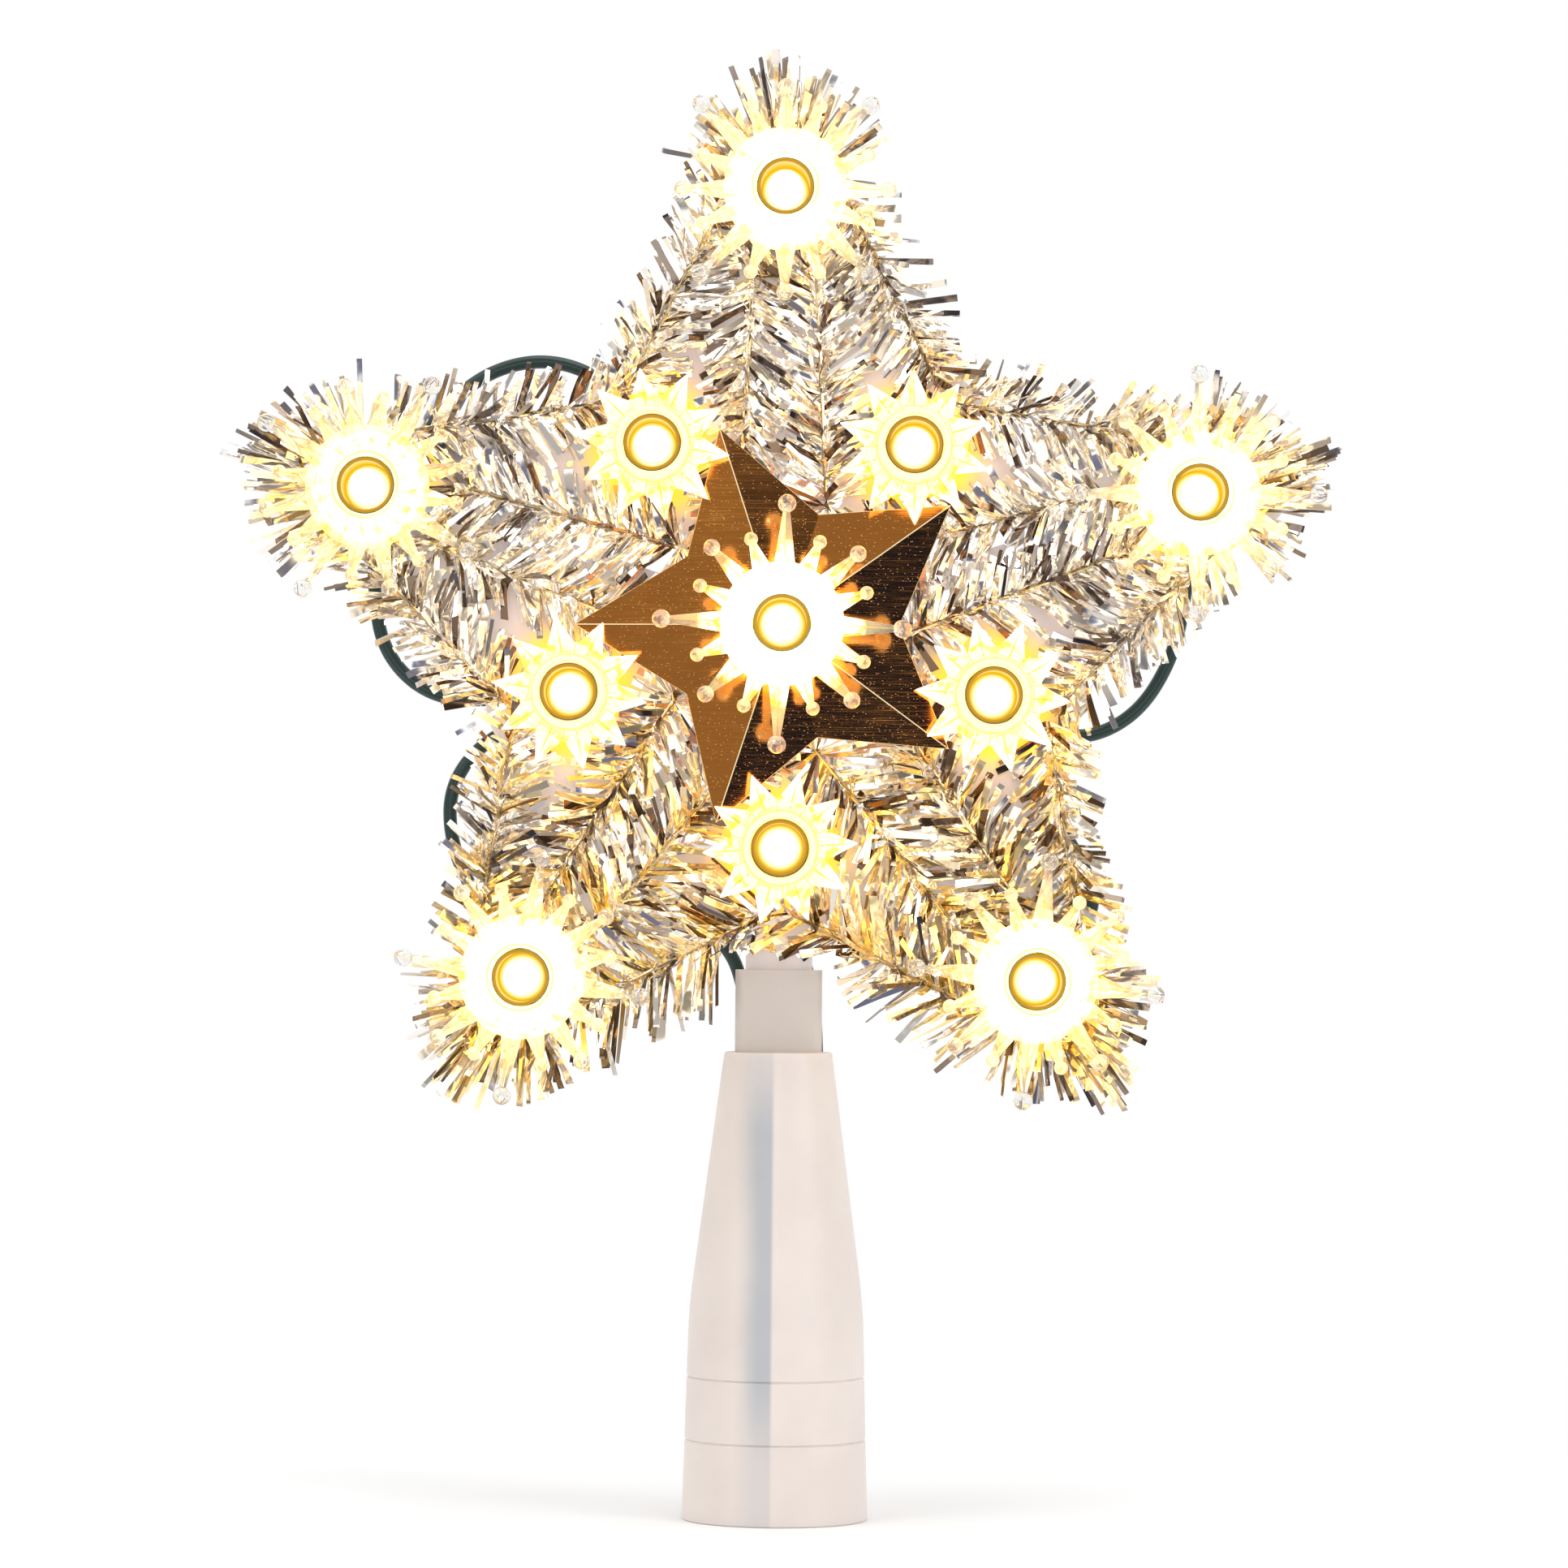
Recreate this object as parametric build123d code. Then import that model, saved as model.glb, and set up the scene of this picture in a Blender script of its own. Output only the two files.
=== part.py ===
"""Lighted tinsel star for the top of a tree, on a translucent cone that slips over the leader.

Millimetres throughout. +Z is up, the star faces -Y and the origin is the centre of the cone's open mouth.
The lamps, their holders and their reflectors are drawn on a local axis that points out of the star's
front, with zero on the face that the reflector stands on, and are then set down at each lamp.
"""

import math
import os

from build123d import *

# Layout of the star, measured in its own plane
STAR_POINTS = 5
TIP_LAMP_RADIUS = 75.0
NOTCH_LAMP_SHARE = 0.50933
STAR_STEP = 360 / STAR_POINTS
FIRST_TIP_ANGLE = 90
TIP_TURNS = (45, 0, -6, -9, -32)
NOTCH_TURNS = (1, -22, 22, 11, -26)
CENTRE_TURN = -2

# Tree cone
MOUTH_RADIUS = 16.05
SKIRT_TOP_RADIUS = 15.0
SKIRT_HEIGHT = 37.0
CONE_TOP_RADIUS = 9.3
CONE_HEIGHT = 80.6
CONE_WALL = 1.2
SCORE_LOW = 13.8
SCORE_HIGH = 24.6
SCORE_DEPTH = 0.3
SEAM_WIDTH = 1.3
SEAM_PROUD = 0.3
POCKET_DEPTH = 8.0
POCKET_WALL = 1.0

# Neck socket that stands in the cone and takes the tongue of the frame
NECK_WIDTH = 15.0
NECK_DEPTH = 7.0
NECK_CORNER = 1.6
NECK_STAND = 14.2
NECK_FLOOR = 1.5
NECK_FIT = 0.05

# Star frame
FRAME_THICK = 2.0
BAND_INSIDE = 10.0
BAND_OUTSIDE = 8.0
TIP_PAD_RADIUS = 11.0
NOSE_RADIUS = 9.0
NOSE_REACH = 8.0
NOTCH_PAD_RADIUS = 15.0
HUB_RADIUS = 20.0
SPOKE_WIDTH = 4.6
WEB_WIDTH = 9.0
BOSS_HEIGHT = 4.0
BOSS_WALL = 1.6
TONGUE_WIDTH = 11.5
TONGUE_DEPTH = 4.2
TONGUE_OVERLAP = 3.0
TONGUE_SHOWING = 6.0
TONGUE_FIT = 0.1
SLOT_FIT = 0.2
PEDESTAL_RADIUS = 9.0
PEDESTAL_WALL = 1.6

# Lamp holder
HOLDER_RADIUS = 4.9
HOLDER_FIT = 0.1
HOLDER_REACH = 10.5
HOLDER_LIP = 0.7
HOLDER_FLANGE = 1.5
HOLDER_FLANGE_THICK = 1.5
HOLDER_TAIL = 5.5
HOLDER_TAIL_STEP = 0.3
HOLDER_SIDES = 8
HOLDER_END_WALL = 3.0

# Lamp: plug, glass and filament
LAMP_FLOOR = 1.0
LAMP_FIT = 0.2
LAMP_SEAT = 0.05
LAMP_FLANGE_THICK = 1.5
PLUG_WIDTH = 5.0
PLUG_DEPTH = 4.0
PLUG_LENGTH = 8.5
STEM_WIDTH = 3.2
STEM_HEIGHT = 2.0
GLASS_RADIUS = 2.9
GLASS_WALL = 0.45
GLASS_BODY = 6.2
GLASS_TIP = 2.4
GLASS_TIP_SHARE = 0.35
FILAMENT_HEIGHT = 3.2
FILAMENT_SPAN = 2.4
FILAMENT_WIRE = 0.3

# Contacts on either side of the plug
CONTACT_THICK = 0.35
CONTACT_WIDTH = 2.4
CONTACT_LENGTH = 7.0
CONTACT_FIT = 0.1

# Sleeve and disc shared by both kinds of reflector
SLEEVE_FIT = 0.2
SLEEVE_WALL = 1.1
SLEEVE_LENGTH = 12.2
SEAT_GAP = 0.3
DISC_BACK = 4.9
DISC_THICK = 1.4

# Starburst reflector: long, middle and short rays, each ending in a bead
RAY_COUNT = 16
RAY_ROOT_RADIUS = 10.0
RAY_ROOT_SHARE = 0.97
RAY_ROOT_HEIGHT = 2.4
RAY_END_WIDTH = 1.5
STARBURST_DISC_RADIUS = 10.6
LONG_BEAD_REACH = 20.6
LONG_BEAD_RADIUS = 1.6
MIDDLE_BEAD_REACH = 17.7
MIDDLE_BEAD_RADIUS = 1.45
SHORT_BEAD_REACH = 15.4
SHORT_BEAD_RADIUS = 1.2
BEAD_SIDES = 6
BEAD_CAP_SHARE = 0.55
BEAD_LENGTH_SHARE = 0.85
BEAD_LIFT_SHARE = 0.33

# Sun reflector: two tiers of pointed petals
PETALS_PER_TIER = 5
PETAL_ROOT_RADIUS = 7.2
PETAL_WIDTH = 6.4
PETAL_HEIGHT = 1.5
PETAL_REACH = 13.3
PETAL_POINT = 0.4
SUN_DISC_RADIUS = 8.4
SUN_TIER_STEP = 1.3

# Foil star behind the middle reflector
FOIL_TIP_RADIUS = 35.7
FOIL_NOTCH_RADIUS = 20.2
FOIL_RISE = 5.0
FOIL_SHEET = 0.45
FOIL_TURN = 18
FOIL_HOLE_GAP = 0.4
FOIL_RIM_GAP = 0.4

# Tinsel garlands, two to each point of the star, laid on the front of the frame
CORE_RADIUS = 0.9
CORE_SIDES = 6
CORE_LIFT = 0.1
OUTER_OFFSET = 9.0
STRAND_WIDTH = 1.7
STRAND_THICK = 0.4
STRAND_PITCH = 2.3
STRAND_LEAN = 25
STRAND_LENGTH = 12.0
STRAND_SHORTEST = 3.0
BOTH_SIDES = (12, 42, 150)
OUTSIDE_ONLY = (12, 42)
TINSEL_DEPTH = 7.5
TINSEL_GAP = 0.6
TIP_WRAP_REACH = 13.0
INNER_TOP_X = 5.5
INNER_TOP_DROP = 14.0
INNER_LOW_X = 7.5
INNER_LOW_Y = 26.0

# Lead between the holders
WIRE_RADIUS = 1.2
WIRE_SIDES = 6
WIRE_ARC_SHARE = 0.45

# Places worked out from the sizes above
FRAME_FRONT = -FRAME_THICK / 2
LAMP_SEAT_Y = FRAME_FRONT - BOSS_HEIGHT
GRIP = BOSS_HEIGHT + FRAME_THICK
HOLE_RADIUS = HOLDER_RADIUS + HOLDER_FIT
BOSS_RADIUS = HOLE_RADIUS + BOSS_WALL
SLEEVE_BORE = HOLDER_RADIUS + SLEEVE_FIT
SLEEVE_RADIUS = SLEEVE_BORE + SLEEVE_WALL
FOIL_RIM_Y = FRAME_FRONT - TINSEL_DEPTH - FOIL_RIM_GAP
FOIL_BACK_Y = FOIL_RIM_Y - FOIL_RISE * (1 - PEDESTAL_RADIUS / FOIL_NOTCH_RADIUS) + FOIL_SHEET
PEDESTAL_Y = FOIL_BACK_Y + SEAT_GAP
NECK_BOTTOM = CONE_HEIGHT - POCKET_DEPTH
NECK_TOP = CONE_HEIGHT + NECK_STAND
TONGUE_BOTTOM = NECK_BOTTOM + NECK_FLOOR + TONGUE_FIT
TONGUE_TOP = NECK_TOP + TONGUE_SHOWING
NOTCH_LAMP_RADIUS = TIP_LAMP_RADIUS * NOTCH_LAMP_SHARE
STAR_HEIGHT = TONGUE_TOP + NOTCH_PAD_RADIUS + NOTCH_LAMP_RADIUS
HOLDER_REAR = -GRIP - HOLDER_FLANGE_THICK - HOLDER_TAIL
MOUTH_BORE = HOLDER_RADIUS - HOLDER_LIP

# Routes of the lead from holder to holder: right of the star's middle, back, above the star's middle
WIRE_ROUTES = {
    "notch_3 to tip_4": [
        (-1.7, 8, -38.2), (-1.7, 15, -38.2), (-0.6, 20, -43.1), (3.2, 20, -53.5), (6.2, 16.5, -64),
        (6.76, 12.9, -74.7), (6.76, 12.9, -81.3), (3.1, 15.9, -86), (-1.9, 20.1, -86), (-5.56, 23.1, -81.3),
        (-5.56, 23.1, -74.7), (-5.6, 22.5, -64.5), (-9, 21, -54.5), (-19, 20, -50), (-30, 20, -54),
        (-38.3, 20, -59.3), (-42.7, 15, -61.68), (-42.7, 8, -61.68)],
    "tip_4 to notch_4": [
        (-45.46, 8, -59.68), (-45.46, 15, -59.68), (-47.9, 20, -55.3), (-53.5, 20, -47.5), (-58.2, 20, -37.5),
        (-58.4, 20, -27), (-51.5, 20, -18.5), (-40.55, 20, -14.97), (-35.8, 15, -13.42), (-35.8, 8, -13.42)],
    "notch_4 to tip_5": [
        (-36.86, 8, -10.18), (-36.86, 15, -10.18), (-41.8, 20, -10.8), (-50, 20, -12.3), (-62, 20, -12),
        (-70.5, 20, -4), (-72.2, 20, 8), (-71.98, 20, 16.56), (-71.86, 15, 21.56), (-71.86, 8, 21.56)],
    "tip_5 to notch_5": [
        (-70.8, 8, 24.8), (-70.8, 15, 24.8), (-67.9, 20, 28.9), (-62.5, 20, 36.5), (-53.5, 20, 45.5),
        (-42, 20, 48.5), (-31, 20, 44.5), (-26.03, 20, 34.39), (-23.83, 15, 29.9), (-23.83, 8, 29.9)],
    "notch_5 to tip_1": [
        (-21.07, 8, 31.9), (-21.07, 15, 31.9), (-21.9, 20, 36.8), (-23.2, 20, 43.5), (-21.5, 20, 56),
        (-15.5, 20, 67), (-6.03, 20, 72.5), (-1.7, 15, 75), (-1.7, 8, 75)],
    "tip_1 to notch_1": [
        (1.7, 8, 75), (1.7, 15, 75), (1.1, 20, 70.04), (0.3, 20, 63.5), (-4.5, 20, 53), (-5.5, 20, 43.5),
        (1.5, 20, 35.5), (9.5, 20, 32), (16.07, 20, 31.94), (21.07, 15, 31.9), (21.07, 8, 31.9)],
    "notch_1 to tip_2": [
        (23.83, 8, 29.9), (23.83, 15, 29.9), (28.04, 20, 27.2), (33.5, 20, 23.5), (45, 20, 20),
        (57.5, 20, 20.3), (66.07, 20, 23.2), (70.8, 15, 24.8), (70.8, 8, 24.8)],
    "tip_2 to notch_2": [
        (71.86, 8, 21.56), (71.86, 15, 21.56), (71.72, 20, 16.56), (71.5, 20, 9), (69.3, 20, -3.5),
        (62.5, 20, -14.5), (51.5, 20, -19), (41.14, 20, -12.76), (36.86, 15, -10.18), (36.86, 8, -10.18)],
    "notch_2 to tip_3": [
        (35.8, 8, -13.42), (35.8, 15, -13.42), (38.17, 20, -17.82), (41.5, 20, -24), (50.5, 20, -35),
        (55.8, 20, -45), (54.2, 20, -51.2), (49.05, 20, -56.2), (45.46, 15, -59.68), (45.46, 8, -59.68)],
    "tip_3 to centre": [
        (42.7, 8, -61.68), (42.7, 15, -61.68), (40.2, 20, -57.35), (36.5, 20, -51), (32, 20, -39),
        (25.5, 20, -28.5), (22.5, 20, -17), (23, 20, -5), (26.5, 20, 5.5), (24, 20, 15.5), (14.5, 18.5, 18.5),
        (6.5, 16.3, 12.5), (3.49, 14.1, 4.67), (1.7, 9.1, 0), (1.7, 2.078, 0)],
    "centre to notch_3": [
        (-1.7, 2.078, 0), (-1.7, 9.1, 0), (-6.66, 14.1, -0.6), (-13, 17, -2), (-21, 19.5, -8.5),
        (-21.5, 20, -18), (-13, 20, -28.5), (-2.47, 20, -35.45), (1.7, 15, -38.2), (1.7, 8, -38.2)],
}


def polar(radius, angle):
    """Point in the star's plane at a radius and an angle in degrees."""
    return (radius * math.cos(math.radians(angle)), radius * math.sin(math.radians(angle)))


def star_plane(depth, x=0, z=0, turn=0):
    """Plane facing the front, at a depth along Y and a place in the star, turned about its axis."""
    across = Vector(math.cos(math.radians(turn)), 0, math.sin(math.radians(turn)))
    return Plane(origin=(x, depth, STAR_HEIGHT + z), x_dir=across, z_dir=(0, -1, 0))


def lamp_places():
    """Every lamp as name, place in the star, reflector kind, reflector turn and depth of its seat."""
    places = [("centre", (0, 0), "starburst", CENTRE_TURN, PEDESTAL_Y)]
    for k in range(STAR_POINTS):
        tip_angle = FIRST_TIP_ANGLE - k * STAR_STEP
        notch_angle = tip_angle - STAR_STEP / 2
        tip = polar(TIP_LAMP_RADIUS, tip_angle)
        notch = polar(NOTCH_LAMP_RADIUS, notch_angle)
        places.append((f"tip_{k + 1}", tip, "starburst", TIP_TURNS[k], LAMP_SEAT_Y))
        places.append((f"notch_{k + 1}", notch, "sun", NOTCH_TURNS[k], LAMP_SEAT_Y))
    return places


def disc(radius, bottom, top):
    """Solid disc on the local axis between two heights."""
    return extrude(Plane.XY.offset(bottom) * Circle(radius), top - bottom)


def outer_radius(height):
    """Outside radius of the tree cone at a height."""
    if height < SKIRT_HEIGHT:
        return MOUTH_RADIUS + (SKIRT_TOP_RADIUS - MOUTH_RADIUS) * height / SKIRT_HEIGHT
    share = (height - SKIRT_HEIGHT) / (CONE_HEIGHT - SKIRT_HEIGHT)
    return SKIRT_TOP_RADIUS + (CONE_TOP_RADIUS - SKIRT_TOP_RADIUS) * share


def bore_radius(height):
    """Inside radius of the tree cone that leaves the full wall at a height."""
    return outer_radius(height) - CONE_WALL


def neck_section(margin):
    """Rounded rectangle of the neck, grown by a margin on every side."""
    width = NECK_WIDTH + margin * 2
    depth = NECK_DEPTH + margin * 2
    return RectangleRounded(width, depth, NECK_CORNER + margin)


def make_tree_cone():
    """Hollow cone with two scored rings, a seam front and back, and a pocket for the neck in its lid."""
    lid = CONE_HEIGHT - CONE_WALL
    outside = [(MOUTH_RADIUS, 0)]
    for score in (SCORE_LOW, SCORE_HIGH):
        radius = outer_radius(score)
        outside.append((radius, score - SCORE_DEPTH))
        outside.append((radius - SCORE_DEPTH, score))
        outside.append((radius, score + SCORE_DEPTH))
    outside.append((SKIRT_TOP_RADIUS, SKIRT_HEIGHT))
    outside.append((CONE_TOP_RADIUS, CONE_HEIGHT))
    inside = [(0, CONE_HEIGHT), (0, lid), (bore_radius(lid), lid), (bore_radius(SKIRT_HEIGHT), SKIRT_HEIGHT)]
    for low, high in ((SCORE_HIGH, SKIRT_HEIGHT), (SCORE_LOW, SCORE_HIGH), (0, SCORE_LOW)):
        inside.append((bore_radius(high), low))
        if low > 0:
            inside.append((bore_radius(low), low))
    shell = revolve(Plane.XZ * make_face(Polyline(*outside, *inside, close=True)), Axis.Z)
    crest = [(MOUTH_RADIUS, 0), (SKIRT_TOP_RADIUS, SKIRT_HEIGHT), (CONE_TOP_RADIUS, CONE_HEIGHT)]
    proud = [(radius + SEAM_PROUD, height) for radius, height in crest]
    sunk = [(radius - CONE_WALL / 2, height) for radius, height in reversed(crest)]
    spread = math.degrees(SEAM_WIDTH / SKIRT_TOP_RADIUS)
    seam = revolve(Plane.XZ * make_face(Polyline(*proud, *sunk, close=True)), Axis.Z, spread)
    seam = Rot(0, 0, 90 - spread / 2) * seam
    wall = neck_section(NECK_FIT + POCKET_WALL)
    cup = extrude(Plane.XY.offset(NECK_BOTTOM - CONE_WALL) * wall, POCKET_DEPTH)
    room = extrude(Plane.XY.offset(NECK_BOTTOM) * neck_section(NECK_FIT), POCKET_DEPTH)
    return shell + [seam, Rot(0, 0, 180) * seam, cup] - room


def make_neck_socket():
    """Flat sided neck with a slot for the tongue of the frame."""
    body = extrude(Plane.XY.offset(NECK_BOTTOM) * neck_section(0), NECK_TOP - NECK_BOTTOM)
    slot = Rectangle(TONGUE_WIDTH + SLOT_FIT * 2, TONGUE_DEPTH + SLOT_FIT * 2)
    return body - extrude(Plane.XY.offset(NECK_BOTTOM + NECK_FLOOR) * slot, NECK_TOP)


def band_outline(tip, notch, side):
    """Wide band of the frame along the line from a tip lamp to the notch lamp on one side of it."""
    along = Vector(*notch) - Vector(*tip)
    normal = Vector(-along.Y, along.X).normalized() * side
    middle = (Vector(*tip) + Vector(*notch)) / 2 + normal * (BAND_OUTSIDE - BAND_INSIDE) / 2
    heading = math.degrees(math.atan2(along.Y, along.X))
    strip = Rectangle(along.length, BAND_OUTSIDE + BAND_INSIDE)
    return Pos(middle.X, middle.Y) * Rot(0, 0, heading) * strip


def make_star_frame(lamps):
    """Star plate with bands, spokes and webs, a boss for every lamp, a middle pedestal and the tongue."""
    sheet = Circle(HUB_RADIUS)
    for k in range(STAR_POINTS):
        tip_angle = FIRST_TIP_ANGLE - k * STAR_STEP
        tip = polar(TIP_LAMP_RADIUS, tip_angle)
        nose = polar(TIP_LAMP_RADIUS + NOSE_REACH, tip_angle)
        sheet += Pos(*tip) * Circle(TIP_PAD_RADIUS)
        sheet += Pos(*nose) * Circle(NOSE_RADIUS)
        spoke = Pos(TIP_LAMP_RADIUS / 2, 0) * Rectangle(TIP_LAMP_RADIUS, SPOKE_WIDTH)
        sheet += Rot(0, 0, tip_angle) * spoke
        web = Pos(NOTCH_LAMP_RADIUS / 2, 0) * Rectangle(NOTCH_LAMP_RADIUS, WEB_WIDTH)
        sheet += Rot(0, 0, tip_angle - STAR_STEP / 2) * web
        for side in (1, -1):
            notch = polar(NOTCH_LAMP_RADIUS, tip_angle - side * STAR_STEP / 2)
            sheet += band_outline(tip, notch, side)
            sheet += Pos(*notch) * Circle(NOTCH_PAD_RADIUS)
    frame = extrude(star_plane(-FRAME_FRONT) * sheet, FRAME_THICK)
    pedestal_floor = PEDESTAL_Y + GRIP
    added = [extrude(star_plane(-FRAME_FRONT) * Circle(PEDESTAL_RADIUS), -FRAME_FRONT - PEDESTAL_Y)]
    holes = [extrude(star_plane(-FRAME_FRONT) * Circle(PEDESTAL_RADIUS - PEDESTAL_WALL),
                     -FRAME_FRONT - pedestal_floor)]
    for name, (x, z), kind, turn, seat in lamps:
        if name != "centre":
            added.append(extrude(star_plane(-FRAME_FRONT, x, z) * Circle(BOSS_RADIUS), GRIP))
        holes.append(extrude(star_plane(-FRAME_FRONT, x, z) * Circle(HOLE_RADIUS), -FRAME_FRONT - seat))
    for depth, top in ((TONGUE_DEPTH, TONGUE_TOP), (FRAME_THICK, TONGUE_TOP + TONGUE_OVERLAP)):
        tongue = Plane.XY.offset(TONGUE_BOTTOM) * Rectangle(TONGUE_WIDTH, depth)
        added.append(extrude(tongue, top - TONGUE_BOTTOM))
    return frame + added - holes


def make_holder():
    """Lamp holder: barrel with a flange behind the frame, a mouth for the lamp and a slot for its plug."""
    shoulder = -GRIP
    barrel = disc(HOLDER_RADIUS, shoulder, HOLDER_REACH)
    wide = Plane.XY.offset(shoulder) * RegularPolygon(HOLDER_RADIUS + HOLDER_FLANGE, HOLDER_SIDES)
    flange = extrude(wide, -HOLDER_FLANGE_THICK)
    narrow = Plane.XY.offset(HOLDER_REAR) * RegularPolygon(HOLDER_RADIUS - HOLDER_TAIL_STEP, HOLDER_SIDES)
    tail = extrude(narrow, shoulder - HOLDER_REAR)
    mouth = disc(MOUTH_BORE, LAMP_FLOOR, HOLDER_REACH)
    slot_width = PLUG_WIDTH + (CONTACT_THICK + CONTACT_FIT * 2) * 2
    floor = HOLDER_REAR + HOLDER_END_WALL
    slot = Plane.XY.offset(floor) * Rectangle(slot_width, PLUG_DEPTH + LAMP_FIT * 2)
    return barrel + [flange, tail] - [mouth, extrude(slot, LAMP_FLOOR - floor)]


def make_contacts():
    """Pair of contact strips in the slot of a holder."""
    strip = Box(CONTACT_THICK, CONTACT_WIDTH, CONTACT_LENGTH)
    out = PLUG_WIDTH / 2 + CONTACT_FIT + CONTACT_THICK / 2 + CONTACT_FIT / 2
    middle = LAMP_FLOOR - CONTACT_LENGTH / 2 - LAMP_FIT
    return [Pos(side * out, 0, middle) * strip for side in (1, -1)]


def make_lamp_base():
    """Push-in lamp base with its plug and stem, and the filament loop that stands on the stem."""
    floor = LAMP_FLOOR + LAMP_SEAT
    flange = disc(MOUTH_BORE - LAMP_FIT, floor, floor + LAMP_FLANGE_THICK)
    stem_top = floor + LAMP_FLANGE_THICK + STEM_HEIGHT
    stem = extrude(Plane.XY.offset(floor) * Rectangle(STEM_WIDTH, STEM_WIDTH), stem_top - floor)
    plug = Pos(0, 0, floor - PLUG_LENGTH / 2) * Box(PLUG_WIDTH, PLUG_DEPTH, PLUG_LENGTH)
    half = FILAMENT_SPAN / 2
    crest = stem_top + FILAMENT_HEIGHT
    outside = [(-half, stem_top), (-half, crest), (half, crest), (half, stem_top)]
    low = crest - FILAMENT_WIRE
    inside = [(half - FILAMENT_WIRE, stem_top), (half - FILAMENT_WIRE, low)]
    inside += [(FILAMENT_WIRE - half, low), (FILAMENT_WIRE - half, stem_top)]
    loop = make_face(Polyline(*outside, *inside, close=True))
    filament = extrude(Plane.XZ * loop, FILAMENT_WIRE / 2, both=True)
    return [flange + [stem, plug], filament]


def make_bulb_glass():
    """Glass of the lamp: a tube over the stem, closed by a tapered tip."""
    foot = LAMP_FLOOR + LAMP_SEAT * 2 + LAMP_FLANGE_THICK
    shoulder = foot + GLASS_BODY
    tip = shoulder + GLASS_TIP
    bore = GLASS_RADIUS - GLASS_WALL
    outside = [(bore, foot), (GLASS_RADIUS, foot), (GLASS_RADIUS, shoulder)]
    inside = [(GLASS_RADIUS * GLASS_TIP_SHARE, tip), (0, tip), (0, shoulder), (bore, shoulder)]
    return revolve(Plane.XZ * make_face(Polyline(*outside, *inside, close=True)), Axis.Z)


def skin(rings):
    """Solid with flat sides through rings of corners, one ring after the other."""
    faces = [Face(Wire.make_polygon(rings[0])), Face(Wire.make_polygon(rings[-1]))]
    for near, far in zip(rings, rings[1:]):
        for k in range(len(near)):
            faces.append(Face(Wire.make_polygon([near[k - 1], near[k], far[k], far[k - 1]])))
    return Solid(Shell(faces))


def spike(root, root_width, root_height, end, end_width, back):
    """Three sided bar lying along local X, flat at the back, its ridge to the front, narrowing evenly."""
    rings = []
    for reach, width in ((root, root_width), (end, end_width)):
        height = root_height * width / root_width
        rings.append([(reach, -width / 2, back), (reach, width / 2, back), (reach, 0, back + height)])
    return skin(rings)


def bead(reach, radius, height):
    """Faceted bead at the end of a ray, its axis along local X."""
    rings = []
    for along, share in ((-1, BEAD_CAP_SHARE), (0, 1), (1, BEAD_CAP_SHARE)):
        corners = [polar(radius * share, k * 360 / BEAD_SIDES) for k in range(BEAD_SIDES)]
        rings.append([(reach + along * radius * BEAD_LENGTH_SHARE, y, height + z) for y, z in corners])
    return skin(rings)


def make_sleeve(disc_radius, sides):
    """Sleeve that turns on a holder, with the many sided disc that carries the rays or petals."""
    sleeve = disc(SLEEVE_RADIUS, SEAT_GAP, SEAT_GAP + SLEEVE_LENGTH)
    outline = Rot(0, 0, 180 / sides) * RegularPolygon(disc_radius, sides)
    plate = extrude(Plane.XY.offset(DISC_BACK) * outline, DISC_THICK)
    return sleeve + plate, disc(SLEEVE_BORE, 0, SEAT_GAP * 2 + SLEEVE_LENGTH)


def make_starburst():
    """Clear starburst of sixteen ridged rays in three lengths, every ray with a bead at its end."""
    body, bore = make_sleeve(STARBURST_DISC_RADIUS, RAY_COUNT)
    root_width = 2 * math.pi * RAY_ROOT_RADIUS / RAY_COUNT * RAY_ROOT_SHARE
    lift = DISC_BACK + RAY_END_WIDTH * BEAD_LIFT_SHARE
    pieces = []
    for k in range(RAY_COUNT):
        reach, radius = SHORT_BEAD_REACH, SHORT_BEAD_RADIUS
        if k % 4 == 0:
            reach, radius = LONG_BEAD_REACH, LONG_BEAD_RADIUS
        elif k % 4 == 2:
            reach, radius = MIDDLE_BEAD_REACH, MIDDLE_BEAD_RADIUS
        turn = Rot(0, 0, k * 360 / RAY_COUNT)
        ray = spike(RAY_ROOT_RADIUS, root_width, RAY_ROOT_HEIGHT, reach, RAY_END_WIDTH, DISC_BACK)
        pieces += [turn * ray, turn * bead(reach, radius, lift)]
    return body + pieces - bore


def make_sun():
    """Clear sun of two tiers of ridged petals, the rear tier between the front ones."""
    body, bore = make_sleeve(SUN_DISC_RADIUS, PETALS_PER_TIER * 2)
    step = 360 / PETALS_PER_TIER
    petals = []
    for tier in (0, 1):
        back = DISC_BACK + tier * SUN_TIER_STEP
        petal = spike(PETAL_ROOT_RADIUS, PETAL_WIDTH, PETAL_HEIGHT, PETAL_REACH, PETAL_POINT, back)
        for k in range(PETALS_PER_TIER):
            petals.append(Rot(0, 0, FIRST_TIP_ANGLE + (k + (1 - tier) / 2) * step) * petal)
    return body + petals - bore


def make_foil_star():
    """Folded foil star: a low pyramid of ten facets with a hole for the middle reflector's sleeve."""
    corners = []
    for k in range(STAR_POINTS):
        angle = FIRST_TIP_ANGLE + FOIL_TURN + k * STAR_STEP
        corners.append(polar(FOIL_TIP_RADIUS, angle))
        corners.append(polar(FOIL_NOTCH_RADIUS, angle + STAR_STEP / 2))
    outline = make_face(Polyline(*corners, close=True))
    shells = []
    for rim in (FOIL_RIM_Y, FOIL_RIM_Y + FOIL_SHEET):
        apex = star_plane(rim - FOIL_RISE).origin
        shells.append(loft([star_plane(rim) * outline, Vertex(apex)], ruled=True))
    hole = extrude(star_plane(0) * Circle(SLEEVE_RADIUS + FOIL_HOLE_GAP), FOIL_RISE - FOIL_RIM_Y)
    return shells[0] - shells[1] - hole


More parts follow.
